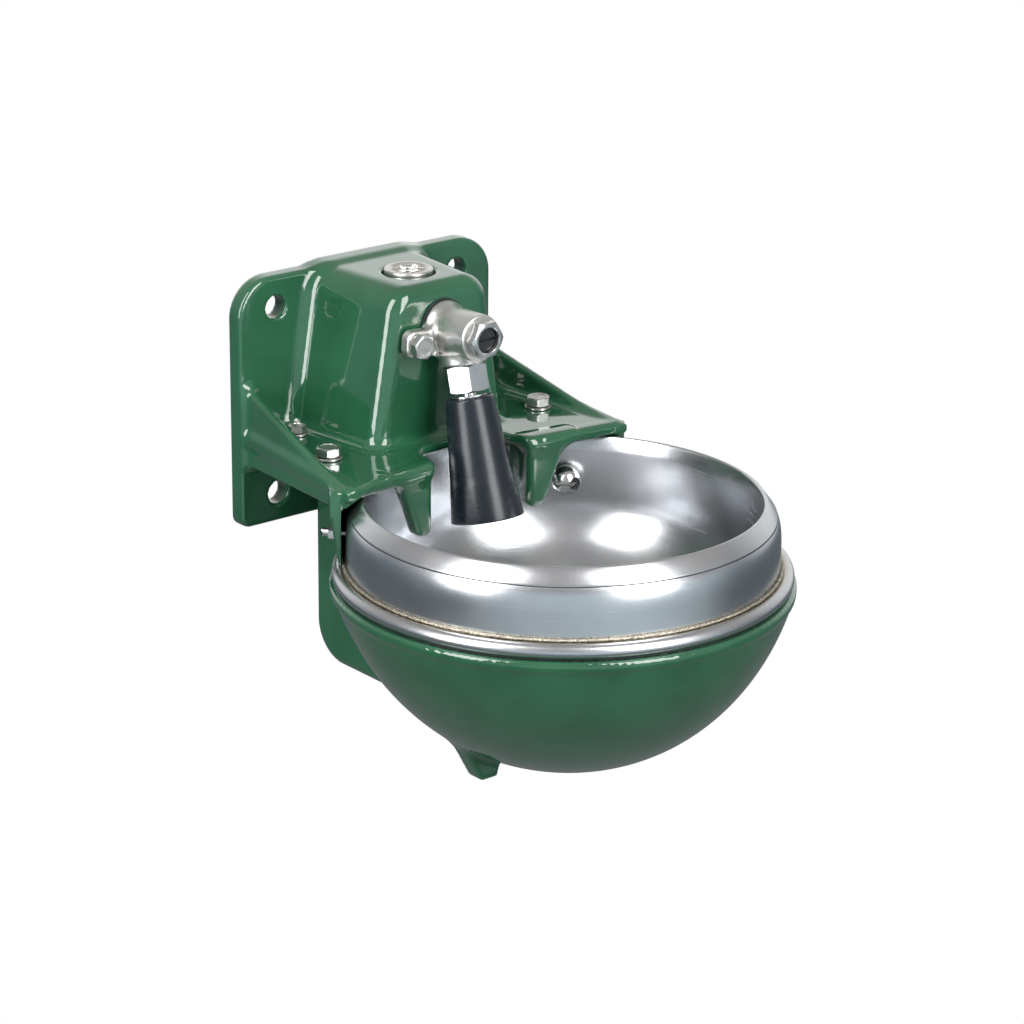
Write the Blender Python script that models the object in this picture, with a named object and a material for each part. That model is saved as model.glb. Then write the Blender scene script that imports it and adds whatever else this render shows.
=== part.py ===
"""Heatable drinking bowl for cattle and horses, built piece by piece at its real size.

The origin is the middle of the four fixing holes, on the wall plane. +X is to the right
of someone who faces the bowl, +Y points into the wall and +Z points up. Lengths are in
metres and angles in degrees.
"""
import math

import bmesh
import bpy
from mathutils import Matrix, Vector

# Clearances and cutting
GAP = 0.0003
OVERRUN = 0.003
MERGE = 0.00002
BOLT_PLAY = 0.0004

# How finely round shapes are divided
RING_STEPS = 48
SMALL_STEPS = 20
BOLT_STEPS = 12
ARC_STEPS = 4
OVAL_STEPS = 11
BALL_STEPS = 8
TUBE_STEPS = 32
WIRE_SIDES = 6
COIL_SIDES = 5
COIL_STEPS = 10
SMOOTH_ANGLE = 35.0
ROUND_SMOOTH_ANGLE = 50.0

# Wall plate
PLATE_HALF_WIDTH = 0.0925
PLATE_TOP = 0.0755
PLATE_BOTTOM = -0.074
PLATE_THICKNESS = 0.0115
PLATE_TOP_RADIUS = 0.025
PLATE_BOTTOM_RADIUS = 0.006
PLATE_EDGE = 0.0018
FIXING_PITCH_X = 0.133
FIXING_PITCH_Z = 0.113
FIXING_RADIUS = 0.007

# Valve box, the hollow hump in front of the plate
BOX_DEPTH = 0.082
BOX_TOP = 0.0745
BOX_HALF_TOP = 0.0337
BOX_HALF_FOOT = 0.0485
BOX_DRAFT = 0.0065
BOX_SHOULDER = 0.014
BOX_FILLET = 0.009
BOX_EDGE = 0.009
BOX_WALL = 0.006

# Ledge over the back of the bowl
LEDGE_TOP = -0.016
LEDGE_THICKNESS = 0.006
LEDGE_ROOT_X = 0.088
LEDGE_CORNER_X = 0.1025
LEDGE_BEFORE_BOX = 0.0462
LEDGE_CORNER_RADIUS = 0.007
NOTCH_MOUTH_X = 0.036
NOTCH_MOUTH_BEHIND = 0.0087
NOTCH_THROAT_X = 0.030
NOTCH_THROAT_BEYOND = 0.008
NOTCH_BACK_BEHIND = 0.0045
NOTCH_RADIUS = 0.011

# Apron along the ledge's front and the two guard fingers
APRON_THICKNESS = 0.005
APRON_BOTTOM = -0.0232
FINGER_THICKNESS = 0.0095
FINGER_TIP = -0.059
FINGER_TIP_WIDTH = 0.0105
FINGER_ROOT_WIDTH = 0.0245
FINGER_TIP_RADIUS = 0.004
FINGER_ROOT_RADIUS = 0.010
FINGER_EDGE = 0.0015
CHEEK_THICKNESS = 0.005
CHEEK_TIP_BEYOND = 0.0045
CHEEK_ROOT_BEHIND = 0.002

# Gussets between plate and ledge
GUSSET_THICKNESS = 0.0055
GUSSET_TOP = 0.0105
GUSSET_KNEE_BEHIND = 0.0207
GUSSET_BOTTOM = -0.0366
GUSSET_FRONT_BOTTOM = -0.0305

# Steel bowl: rim, collar and bead, each ring drawn in from the one outside it
BEAD_RADIUS = 0.130
BEAD_OVERHANG = 0.008
BEAD_TOP = -0.0625
BEAD_HEIGHT = 0.008
COLLAR_DRAW_IN = 0.0016
COLLAR_SHOULDER_Z = -0.0405
RIM_SHOULDER_WIDTH = 0.0077
RIM_TURN_WIDTH = 0.0042
RIM_FALL_SHARE = 1.5
RIM_OUT_SHARE = 1.6
RIM_TOP = -0.0235
RIM_SHOULDER_Z = -0.0322
INSERT_SPRING_Z = -0.052
HEATER_ROOM = 0.0583
SHEET = 0.0016
WELD_RADIUS = 0.0008
GASKET_THICKNESS = 0.0008

# Skirt of the upper casting round the back of the collar
SKIRT_CLEARANCE = 0.0023
SKIRT_BEYOND_SCREW = 15.0
SKIRT_TOP_THICKNESS = 0.0067
SKIRT_FOOT_THICKNESS = 0.0018
RIM_CLEARANCE = 0.0009

# Lower casting
CAST_BAND_SETBACK = 0.0008
CAST_BULGE = 0.0102
CAST_LIP = 0.0067
CAST_CENTRE_Z = -0.0174
CAST_DEPTH = 0.1629
CAST_WALL = 0.0055
CAST_BAND_HEIGHT = 0.0062
NECK_HALF_WIDTH = 0.053
NECK_BEHIND_TEE = 0.0235
NECK_RISE = 0.0233
NECK_RADIUS = 0.027
NECK_EDGE = 0.006
NECK_WALL = 0.005
NECK_END_SHARE = 0.3
FLANGE_THICKNESS = 0.0075
FLANGE_BACK_HALF = 0.081
FLANGE_FRONT_HALF = 0.0915
FLANGE_MARGIN = 0.0085
FLANGE_FRONT_BEHIND = 0.0242
FOOT_THICKNESS = 0.010
FOOT_OUTER_ROOT_X = 0.076
FOOT_OUTER_TIP_X = 0.062
FOOT_INNER_TIP_X = 0.0515
FOOT_INNER_ROOT_X = 0.045
FOOT_TIP_RISE = 0.0035
FOOT_ROOT_RISE = 0.032

# Heater under the steel bowl
LINER_THICKNESS = 0.004
HEAT_PLATE_SHARE = 0.516
HEAT_PLATE_THICKNESS = 0.003
ELEMENT_SHARE = 0.387
ELEMENT_WIRE = 0.0025
HEAT_PLATE_SHARES = (0, 0.18, 0.35, 0.52, 0.68, 0.84, 1)
LEAD_SHARES = (0.57, 0.66, 0.75)
LEAD_DEPTH_SHARE = 0.8
LEAD_BEND_SHARE = 0.125
THERMOSTAT_RADIUS = 0.009
THERMOSTAT_HEIGHT = 0.0055
LEAD_X = 0.020
LEAD_RADIUS = 0.0025
LEAD_HOLE_SHARE = 0.679
LEAD_STRAIGHT = 0.004
LEAD_HOLE_RADIUS = 0.0045
GLAND_BEYOND_TEE = 0.0155
GLAND_RADIUS = 0.0065
GLAND_FLATS = 0.017
GLAND_HEAD = 0.006
GLAND_LENGTH = 0.020

# Water supply inside the housing
TEE_BEHIND_FRONT = 0.0315
TEE_TOP = 0.0776
TEE_BOTTOM = 0.024
TEE_RADIUS = 0.01425
TEE_BORE = 0.0093
TEE_HOLE_PLAY = 0.0015
TEE_FLANGE_THICKNESS = 0.006
TEE_WALL_SHIFT = 0.001
TEE_BRANCH_RADIUS = 0.0139
RISER_RADIUS = 0.01065
RISER_WALL = 0.002
RISER_SCREW_DEPTH = 0.014
COUPLING_RADIUS = 0.0135
COUPLING_LENGTH = 0.0275
COUPLING_STICK_OUT = 0.0008
COUPLING_BOSS_WALL = 0.0035
COUPLING_BOSS_HEIGHT = 0.022
RISER_ROOM = 0.0015
RISER_TO_BOWL = 0.00085

# Valve body in front of the box
VALVE_Z = 0.051
VALVE_ROOT_RADIUS = 0.0142
VALVE_ROOT_LENGTH = 0.0035
VALVE_WAIST_RADIUS = 0.0127
VALVE_WAIST_LENGTH = 0.0085
VALVE_NOSE_RADIUS = 0.0133
VALVE_NOSE_CHAMFER = 0.0008
VALVE_LENGTH = 0.0352
VALVE_FLANGE_THICKNESS = 0.0077
VALVE_GASKET = 0.0012
VALVE_GASKET_RADIUS = 0.0154
VALVE_SPIGOT_RADIUS = 0.0112
VALVE_SPIGOT_LENGTH = 0.019
VALVE_HOLE_RADIUS = 0.0132
VALVE_CHAMBER_RADIUS = 0.0065
EAR_LEFT_X = -0.0252
EAR_LEFT_DROP = 0.0058
EAR_RIGHT_X = 0.0242
EAR_RIGHT_DROP = 0.0095
EAR_END = 0.0068
EAR_HALF_HEIGHT = 0.008
EAR_RADIUS = 0.005
SEAL_WIRE = 0.001
SEAL_GROOVE_DEPTH = 0.0021
SEAL_GROOVE_HALF = 0.0013

# Front cap and flow regulator
CAP_FLATS = 0.0201
CAP_LENGTH = 0.0048
CAP_LIP = 0.0016
CAP_OPENING = 0.0074
NOSE_BOSS_RADIUS = 0.0088
NOSE_BOSS_LENGTH = 0.0027
REGULATOR_HEAD_RADIUS = 0.0071
REGULATOR_RECESS = 0.0007
REGULATOR_SHOULDER_RADIUS = 0.0078
REGULATOR_SHOULDER_LENGTH = 0.0045
REGULATOR_SHANK_RADIUS = 0.0061
REGULATOR_LENGTH = 0.0154
REGULATOR_SLOT_WIDTH = 0.0018
REGULATOR_SLOT_DEPTH = 0.0014
REGULATOR_SEAL_WIRE = 0.0006
REGULATOR_GROOVE_DEPTH = 0.0014
REGULATOR_GROOVE_HALF = 0.0009

# Outlet: its axis leaves the valve axis and leans forward; distances run down it
OUTLET_BEFORE_FRONT = 0.016
OUTLET_LEAN = 14.0
OUTLET_RADIUS = 0.0136
OUTLET_END = 0.019
OUTLET_CHAMFER = 0.0012
OUTLET_ROOT_RADIUS = 0.0115
OUTLET_FLARE_START = 0.0095
OUTLET_FLARE_END = 0.0125
OUTLET_THREAD_RADIUS = 0.009
OUTLET_THREAD_END = 0.0255
OUTLET_BORE = 0.006
NUT_FLATS = 0.0228
NUT_END = 0.0355
NUT_LIP = 0.0016
NUT_OPENING = 0.0078
PIVOT_DISTANCE = 0.0305
BALL_RADIUS = 0.0055
BALL_FLAT = 0.0043
BALL_BORE = 0.0018
SWIVEL_OUTER = 0.0088
SWIVEL_HALF_HEIGHT = 0.0022
SWIVEL_PLAY = 0.0003

# Valve inside the outlet
SEAT_LENGTH = 0.0029
SEAT_BORE = 0.0031
PLUNGER_RADIUS = 0.0049
PLUNGER_PLATE = 0.0018
PLUNGER_SEAL = 0.0013
STEM_RADIUS = 0.0024
STEM_END = 0.0253
SPRING_RADIUS = 0.0038
SPRING_WIRE = 0.0005
SPRING_TURNS = 6

# Drinking tube
SOCKET_NECK_RADIUS = 0.004
SOCKET_LIP_RADIUS = 0.0105
SOCKET_LIP_TOP = 0.0373
SOCKET_LIP_THICKNESS = 0.0008
SOCKET_TAIL_RADIUS = 0.0065
SOCKET_TAIL_LENGTH = 0.022
TUBE_TOP_RADIUS = 0.0139
TUBE_TOP_EDGE = 0.0013
TUBE_CREASE_RADIUS = 0.0183
TUBE_CREASE_DISTANCE = 0.086
TUBE_END_RADIUS = 0.02125
TUBE_END_DISTANCE = 0.1096
TUBE_WALL = 0.004
TUBE_THROAT_RADIUS = 0.009

# Fasteners: thread radius, width over the flats, head and nut heights
LARGE_BOLT_RADIUS = 0.004
LARGE_FLATS = 0.013
LARGE_HEAD = 0.0053
LARGE_NUT = 0.0065
LARGE_WASHER_RADIUS = 0.0082
SMALL_BOLT_RADIUS = 0.003
SMALL_FLATS = 0.010
SMALL_HEAD = 0.004
SMALL_NUT = 0.005
SMALL_WASHER_RADIUS = 0.0063
WASHER_THICKNESS = 0.0014
NUT_STICK_OUT = 0.002
HEAD_CHAMFER_SHARE = 0.125
FRONT_BOLT_X = 0.0775
FRONT_BOLT_TO_SKIRT = 0.0085
REAR_BOLT_X = 0.066
REAR_BOLT_REACH = 0.030
SCREW_BESIDE_MOUTH = 0.0352
LOW_SCREW_Z = -0.054
BALL_SCREW_Z = -0.047
LOW_HEAD_RADIUS = 0.0048
LOW_HEAD_HEIGHT = 0.0028
LOW_HEAD_TOP_SHARE = 0.6
BALL_HEAD_RADIUS = 0.0085
BALL_HEAD_SEAT = 0.0060
BALL_SLOT_WIDTH = 0.0016
BALL_SLOT_DEPTH = 0.0026
BALL_SCREW_RADIUS = 0.0025
BALL_NUT_FLATS = 0.008
BALL_NUT_HEIGHT = 0.0045
BALL_WASHER_RADIUS = 0.005
BALL_WASHER_THICKNESS = 0.001
BALL_SCREW_STICK_OUT = 0.003

# Colours of the finishes, their roughness and metallic value
FINISHES = {
    "green_enamel": ((0.022, 0.115, 0.060, 1.0), 0.22, 0.0),
    "stainless_steel": ((0.62, 0.60, 0.57, 1.0), 0.28, 1.0),
    "cast_stainless": ((0.55, 0.54, 0.51, 1.0), 0.42, 1.0),
    "zinc_steel": ((0.58, 0.58, 0.56, 1.0), 0.38, 1.0),
    "brass": ((0.72, 0.52, 0.24, 1.0), 0.35, 1.0),
    "aluminium": ((0.75, 0.75, 0.76, 1.0), 0.40, 1.0),
    "black_rubber": ((0.012, 0.014, 0.017, 1.0), 0.38, 0.0),
    "black_plastic": ((0.015, 0.017, 0.020, 1.0), 0.30, 0.0),
    "foam": ((0.70, 0.66, 0.52, 1.0), 0.90, 0.0),
}

# Places that follow from the sizes
TEE_REACH = BOX_DEPTH - TEE_BEHIND_FRONT
OUTLET_REACH = BOX_DEPTH + OUTLET_BEFORE_FRONT
VALVE_NOSE_REACH = BOX_DEPTH + VALVE_LENGTH
REGULATOR_END_REACH = VALVE_NOSE_REACH + NOSE_BOSS_LENGTH - REGULATOR_LENGTH
EAR_BOLT_LEFT = (EAR_LEFT_X, VALVE_Z - EAR_LEFT_DROP)
EAR_BOLT_RIGHT = (EAR_RIGHT_X, VALVE_Z - EAR_RIGHT_DROP)
GLAND_REACH = TEE_REACH + GLAND_BEYOND_TEE
LEDGE_CORNER_REACH = BOX_DEPTH + LEDGE_BEFORE_BOX
NOTCH_MOUTH_REACH = LEDGE_CORNER_REACH - NOTCH_MOUTH_BEHIND
GUSSET_KNEE_REACH = LEDGE_CORNER_REACH - GUSSET_KNEE_BEHIND
FLANGE_FRONT_REACH = LEDGE_CORNER_REACH - FLANGE_FRONT_BEHIND
NOTCH_THROAT_REACH = OUTLET_REACH + NOTCH_THROAT_BEYOND
NOTCH_BACK_REACH = OUTLET_REACH - NOTCH_BACK_BEHIND
CHEEK_TIP_REACH = OUTLET_REACH + CHEEK_TIP_BEYOND
CHEEK_ROOT_REACH = OUTLET_REACH - CHEEK_ROOT_BEHIND
COLLAR_RADIUS = BEAD_RADIUS - BEAD_OVERHANG
RIM_SHOULDER_RADIUS = COLLAR_RADIUS - COLLAR_DRAW_IN
RIM_RADIUS = RIM_SHOULDER_RADIUS - RIM_SHOULDER_WIDTH
INSERT_RADIUS = RIM_RADIUS - RIM_TURN_WIDTH
CAST_BAND_RADIUS = BEAD_RADIUS - CAST_BAND_SETBACK
CAST_MOUTH_RADIUS = CAST_BAND_RADIUS - CAST_LIP
CAST_RADIUS = CAST_BAND_RADIUS + CAST_BULGE
HEAT_PLATE_RADIUS = INSERT_RADIUS * HEAT_PLATE_SHARE
ELEMENT_RADIUS = INSERT_RADIUS * ELEMENT_SHARE
INSERT_DEPTH = INSERT_SPRING_Z - CAST_CENTRE_Z + CAST_DEPTH - HEATER_ROOM
NECK_BOTTOM = CAST_CENTRE_Z - CAST_DEPTH + NECK_RISE
NECK_BACK = TEE_REACH - NECK_BEHIND_TEE
LEAD_HOLE_Z = CAST_CENTRE_Z - CAST_DEPTH * LEAD_HOLE_SHARE
BALL_SCREW_ANGLE = math.degrees(math.asin((NOTCH_MOUTH_X + SCREW_BESIDE_MOUTH) / INSERT_RADIUS))
SKIRT_HALF_ANGLE = BALL_SCREW_ANGLE + SKIRT_BEYOND_SCREW
FLANGE_BACK_REACH = REAR_BOLT_REACH - FLANGE_MARGIN
LEDGE_BOTTOM = LEDGE_TOP - LEDGE_THICKNESS
FLANGE_TOP = LEDGE_BOTTOM - GAP
FLANGE_BOTTOM = FLANGE_TOP - FLANGE_THICKNESS
BEAD_BOTTOM = BEAD_TOP - BEAD_HEIGHT
GASKET_BOTTOM = BEAD_BOTTOM - GAP - GASKET_THICKNESS
CAST_TOP = GASKET_BOTTOM - GAP
CAST_BAND_BOTTOM = CAST_TOP - CAST_BAND_HEIGHT
CAST_WIDEST = CAST_RADIUS * math.sqrt(1 - ((CAST_CENTRE_Z - CAST_BAND_BOTTOM) / CAST_DEPTH) ** 2)
BOWL_REACH = TEE_REACH + RISER_RADIUS + RISER_TO_BOWL + max(BEAD_RADIUS, CAST_WIDEST)
NECK_FRONT_REACH = BOWL_REACH - CAST_RADIUS * NECK_END_SHARE
SKIRT_INNER = COLLAR_RADIUS + SKIRT_CLEARANCE
SKIRT_FOOT = BEAD_TOP + GAP
SKIRT_OUTER = SKIRT_INNER + SKIRT_TOP_THICKNESS
FRONT_BOLT_REACH = BOWL_REACH - math.sqrt((SKIRT_OUTER + FRONT_BOLT_TO_SKIRT) ** 2 - FRONT_BOLT_X ** 2)
BOWL_AXIS = Matrix.Translation((0, -BOWL_REACH, 0))
TEE_AXIS = Matrix.Translation((0, -TEE_REACH, 0))
FORWARD = Matrix.Rotation(math.radians(90), 4, "X")
VALVE_AXIS = Matrix.Translation((0, 0, VALVE_Z)) @ FORWARD
OUTLET_AXIS = (Matrix.Translation((0, -OUTLET_REACH, VALVE_Z))
               @ Matrix.Rotation(math.radians(180 - OUTLET_LEAN), 4, "X"))
PIVOT = OUTLET_AXIS @ Vector((0, 0, PIVOT_DISTANCE))
MIRROR_X = Matrix.Scale(-1, 4, (1, 0, 0))
SIDES = {"left": -1, "right": 1}


# Meshes and objects

def finish(name):
    """Material of one finish, made the first time it is asked for."""
    found = bpy.data.materials.get(name)
    if found:
        return found
    colour, roughness, metallic = FINISHES[name]
    made = bpy.data.materials.new(name)
    made.use_nodes = True
    shader = made.node_tree.nodes["Principled BSDF"]
    shader.inputs["Base Color"].default_value = colour
    shader.inputs["Roughness"].default_value = roughness
    shader.inputs["Metallic"].default_value = metallic
    made.diffuse_color = colour
    return made


def add_object(name, mesh):
    """Link a mesh into the scene as an object."""
    made = bpy.data.objects.new(name, mesh)
    bpy.context.scene.collection.objects.link(made)
    return made


def skin(loops, ring=False):
    """Closed shape through loops of points; a loop of one point is a pole."""
    shape = bmesh.new()
    rows = [[shape.verts.new(point) for point in loop] for loop in loops]
    pairs = list(zip(rows, rows[1:]))
    if ring:
        pairs.append((rows[-1], rows[0]))
    for first, second in pairs:
        count = max(len(first), len(second))
        for index in range(count):
            corners = []
            for row, step in ((first, index), (first, index + 1), (second, index + 1), (second, index)):
                vertex = row[step % len(row)]
                if vertex not in corners:
                    corners.append(vertex)
            shape.faces.new(corners)
    if not ring:
        for row in (rows[0], rows[-1]):
            if len(row) > 1:
                shape.faces.new(row)
    bmesh.ops.recalc_face_normals(shape, faces=shape.faces)
    return shape


def turned(profile, matrix=Matrix(), steps=SMALL_STEPS):
    """Solid turned from points (radius, height); closed on itself unless both ends lie on the axis."""
    loops = []
    for radius, height in profile:
        if radius == 0:
            loops.append([matrix @ Vector((0, 0, height))])
            continue
        angles = [2 * math.pi * step / steps for step in range(steps)]
        loops.append([matrix @ Vector((radius * math.cos(a), radius * math.sin(a), height)) for a in angles])
    return skin(loops, ring=profile[0][0] > 0)


def disc(radius, low, high, matrix=Matrix(), steps=SMALL_STEPS):
    """Plain round rod between two heights."""
    return turned([(0, low), (radius, low), (radius, high), (0, high)], matrix, steps)


def washer(inner, outer, low, high, matrix=Matrix(), steps=SMALL_STEPS):
    """Flat ring between two heights."""
    return turned([(inner, low), (outer, low), (outer, high), (inner, high)], matrix, steps)


def ring_wire(radius, wire, height, matrix=Matrix(), steps=SMALL_STEPS, sides=WIRE_SIDES):
    """Round ring of round section."""
    angles = [2 * math.pi * side / sides for side in range(sides)]
    profile = [(radius + wire * math.cos(a), height + wire * math.sin(a)) for a in angles]
    return turned(profile, matrix, steps)


def hexagon(flats, low, high, matrix=Matrix(), chamfer=0.0):
    """Six-sided bar between two heights, with its end edges broken by the chamfer."""
    corner = flats / math.sqrt(3)
    stations = [(corner, low), (corner, high)]
    if chamfer:
        stations = [(corner - chamfer, low), (corner, low + chamfer / 2),
                    (corner, high - chamfer / 2), (corner - chamfer, high)]
    loops = []
    for radius, height in stations:
        angles = [math.radians(60 * side) for side in range(6)]
        loops.append([matrix @ Vector((radius * math.cos(a), radius * math.sin(a), height)) for a in angles])
    return skin(loops)


def rounded_outline(corners, steps=ARC_STEPS):
    """Outline through corners (u, v, radius), each turned by an arc of its radius."""
    points = []
    for index, (u, v, radius) in enumerate(corners):
        here = Vector((u, v))
        if radius == 0:
            points.append(here)
            continue
        before = (Vector(corners[index - 1][:2]) - here).normalized()
        after = (Vector(corners[(index + 1) % len(corners)][:2]) - here).normalized()
        half = before.angle(after) / 2
        middle = here + (before + after).normalized() * (radius / math.sin(half))
        start = here + before * (radius / math.tan(half)) - middle
        end = here + after * (radius / math.tan(half)) - middle
        sweep = (math.pi - 2 * half) * (1 if start.x * end.y > start.y * end.x else -1)
        for step in range(steps + 1):
            angle = sweep * step / steps
            points.append(middle + Vector((start.x * math.cos(angle) - start.y * math.sin(angle),
                                           start.x * math.sin(angle) + start.y * math.cos(angle))))
    return points


def prism(plane, outline, low, high):
    """Outline in the XY, XZ or YZ plane, extruded between two places on the third axis."""
    place = {"XY": lambda u, v, w: Vector((u, v, w)),
             "XZ": lambda u, v, w: Vector((u, w, v)),
             "YZ": lambda u, v, w: Vector((w, u, v))}[plane]
    return skin([[place(u, v, w) for u, v in outline] for w in (low, high)])


def bevel_where(shape, chosen, width, segments=2):
    """Round every edge of the shape for which chosen(edge) holds."""
    edges = [edge for edge in shape.edges if chosen(edge)]
    bmesh.ops.bevel(shape, geom=edges, offset=width, segments=segments, profile=0.5,
                    affect="EDGES", clamp_overlap=True)
    return shape


def mirrored(shape):
    """The same shape on the other side of the middle plane."""
    other = shape.copy()
    other.transform(MIRROR_X)
    bmesh.ops.recalc_face_normals(other, faces=other.faces)
    return other


def object_from(shape, name="scratch"):
    """Turn a bmesh into a linked object."""
    mesh = bpy.data.meshes.new(name)
    shape.to_mesh(mesh)
    shape.free()
    return add_object(name, mesh)


def combine(target, shape, operation):
    """Apply one Boolean of a shape to an object."""
    tool = object_from(shape)
    modifier = target.modifiers.new(operation, "BOOLEAN")
    modifier.operation = operation
    modifier.solver = "EXACT"
    modifier.object = tool
    graph = bpy.context.evaluated_depsgraph_get()
    result = bpy.data.meshes.new_from_object(target.evaluated_get(graph))
    target.modifiers.clear()
    target.data = result
    bpy.data.objects.remove(tool)
    merge_slivers(result)
    return target


def merge_slivers(mesh):
    """Weld points that lie closer together than the merge distance."""
    shape = bmesh.new()
    shape.from_mesh(mesh)
    bmesh.ops.remove_doubles(shape, verts=shape.verts, dist=MERGE)
    bmesh.ops.dissolve_degenerate(shape, edges=shape.edges, dist=MERGE)
    shape.to_mesh(mesh)
    shape.free()


def body(base, joined=(), cut=()):
    """Object from a base shape, with others joined to it and then others cut from it."""
    made = object_from(base)
    for shape in joined:
        combine(made, shape, "UNION")
    for shape in cut:
        combine(made, shape, "DIFFERENCE")
    return made


def name_piece(made, name, finish_name, smooth_angle=SMOOTH_ANGLE):
    """Give a finished object its name, material and shading."""
    made.name = name
    made.data.name = name
    made.data.materials.clear()
    made.data.materials.append(finish(finish_name))
    made.data.shade_smooth()
    made.data.set_sharp_from_angle(angle=math.radians(smooth_angle))
    return made


def set_origin(made, point):
    """Move an object's origin to a point, with its shape left where it is."""
    made.data.transform(Matrix.Translation(-Vector(point)))
    made.location = point
    return made


def round_hole(radius, x, y, low, high, steps=BOLT_STEPS):
    """Upright cutter for a hole."""
    return disc(radius, low, high, Matrix.Translation((x, y, 0)), steps)


# Upper casting

def side_x(reach):
    """Outer face of a gusset at a distance in front of the wall."""
    share = (reach - PLATE_THICKNESS) / (LEDGE_CORNER_REACH - PLATE_THICKNESS)
    return LEDGE_ROOT_X + (LEDGE_CORNER_X - LEDGE_ROOT_X) * share


def wall_plate():
    """Plate with large round top corners and softened front edges."""
    half = PLATE_HALF_WIDTH
    outline = rounded_outline([(-half, PLATE_BOTTOM, PLATE_BOTTOM_RADIUS),
                               (half, PLATE_BOTTOM, PLATE_BOTTOM_RADIUS),
                               (half, PLATE_TOP, PLATE_TOP_RADIUS), (-half, PLATE_TOP, PLATE_TOP_RADIUS)])
    plate = prism("XZ", outline, -PLATE_THICKNESS, 0)
    front = -PLATE_THICKNESS + GAP
    return bevel_where(plate, lambda edge: all(v.co.y < front for v in edge.verts), PLATE_EDGE)


def box_loop(y, inset, top_inset, low):
    """Section of the valve box parallel to the wall, drawn in by the insets."""
    draft = BOX_DRAFT * (1 - (-y - PLATE_THICKNESS) / (BOX_DEPTH - PLATE_THICKNESS))
    slope = (BOX_HALF_FOOT - BOX_HALF_TOP) / (BOX_TOP - LEDGE_TOP)
    top = BOX_HALF_TOP + draft - inset
    foot = top + slope * (BOX_TOP - low)
    crown = BOX_TOP - top_inset
    shoulder = max(BOX_SHOULDER - top_inset, BOX_SHOULDER / 2)
    outline = rounded_outline([(-foot, low, 0), (foot, low, 0), (top, crown, shoulder), (-top, crown, shoulder)],
                              steps=6)
    return [Vector((u, y, v)) for u, v in outline]


def valve_box():
    """Outer form of the box: flared where it leaves the plate, rounded round its front."""
    low = LEDGE_TOP - LEDGE_THICKNESS / 2
    stations = [(-PLATE_THICKNESS / 2, -BOX_FILLET, 0)]
    turns = [math.radians(angle) for angle in (0, 30, 60, 90)]
    for angle in turns:
        forward = BOX_FILLET * (1 - math.cos(angle))
        stations.append((-PLATE_THICKNESS - forward, -BOX_FILLET * (1 - math.sin(angle)), 0))
    for angle in turns:
        inset = BOX_EDGE * (1 - math.cos(angle))
        stations.append((-BOX_DEPTH + BOX_EDGE * (1 - math.sin(angle)), inset, inset))
    return skin([box_loop(y, inset, top_inset, low) for y, inset, top_inset in stations])


def box_hollow():
    """Room inside the box, open to the wall and down through the ledge."""
    low = LEDGE_BOTTOM - OVERRUN
    return skin([box_loop(y, BOX_WALL, BOX_WALL, low) for y in (OVERRUN, -BOX_DEPTH + BOX_WALL)])


def ledge():
    """Flat ledge with its shallow V front and the notch for the drinking tube."""
    half = [(LEDGE_ROOT_X - GUSSET_THICKNESS / 2, -PLATE_THICKNESS / 2, 0),
            (LEDGE_CORNER_X, -LEDGE_CORNER_REACH, LEDGE_CORNER_RADIUS),
            (NOTCH_MOUTH_X, -NOTCH_MOUTH_REACH, 0),
            (NOTCH_THROAT_X, -NOTCH_THROAT_REACH, 0),
            (NOTCH_THROAT_X, -NOTCH_BACK_REACH, NOTCH_RADIUS)]
    outline = rounded_outline(half + [(-x, y, radius) for x, y, radius in reversed(half)])
    return prism("XY", outline, LEDGE_BOTTOM, LEDGE_TOP)


def gusset():
    """Right-hand web from the plate down to the ledge's corner, leaning outwards."""
    sunk = LEDGE_TOP - LEDGE_THICKNESS / 4
    front = LEDGE_CORNER_REACH - LEDGE_CORNER_RADIUS
    outline = [(PLATE_THICKNESS / 2, GUSSET_TOP), (PLATE_THICKNESS, GUSSET_TOP), (GUSSET_KNEE_REACH, LEDGE_TOP),
               (front, sunk), (front, GUSSET_FRONT_BOTTOM),
               (PLATE_THICKNESS, GUSSET_BOTTOM), (PLATE_THICKNESS / 2, GUSSET_BOTTOM)]
    outer = [Vector((side_x(reach), -reach, z)) for reach, z in outline]
    inner = [point - Vector((GUSSET_THICKNESS, 0, 0)) for point in outer]
    return skin([outer, inner])


def corner_post():
    """Rounded block at the ledge's right front corner."""
    radius = LEDGE_CORNER_RADIUS
    reach = LEDGE_CORNER_REACH - radius
    place = Matrix.Translation((side_x(reach) - radius, -reach, 0))
    return disc(radius, GUSSET_FRONT_BOTTOM, LEDGE_TOP - LEDGE_THICKNESS / 4, place, SMALL_STEPS)


def along_front(shape):
    """Stand a shape drawn in the XZ plane on the ledge's right front edge, from the notch outwards."""
    turn = math.atan2(NOTCH_MOUTH_REACH - LEDGE_CORNER_REACH, LEDGE_CORNER_X - NOTCH_MOUTH_X)
    shape.transform(Matrix.Translation((NOTCH_MOUTH_X, -NOTCH_MOUTH_REACH, 0)) @ Matrix.Rotation(turn, 4, "Z"))
    return shape


def apron():
    """Right half of the thin apron under the ledge's front edge."""
    length = math.hypot(LEDGE_CORNER_X - NOTCH_MOUTH_X, LEDGE_CORNER_REACH - NOTCH_MOUTH_REACH)
    top = LEDGE_TOP - LEDGE_THICKNESS / 4
    far = length - LEDGE_CORNER_RADIUS
    outline = [(FINGER_TIP_WIDTH, top), (FINGER_TIP_WIDTH, APRON_BOTTOM), (far, APRON_BOTTOM), (far, top)]
    return along_front(prism("XZ", outline, GAP / 2, APRON_THICKNESS))


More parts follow.
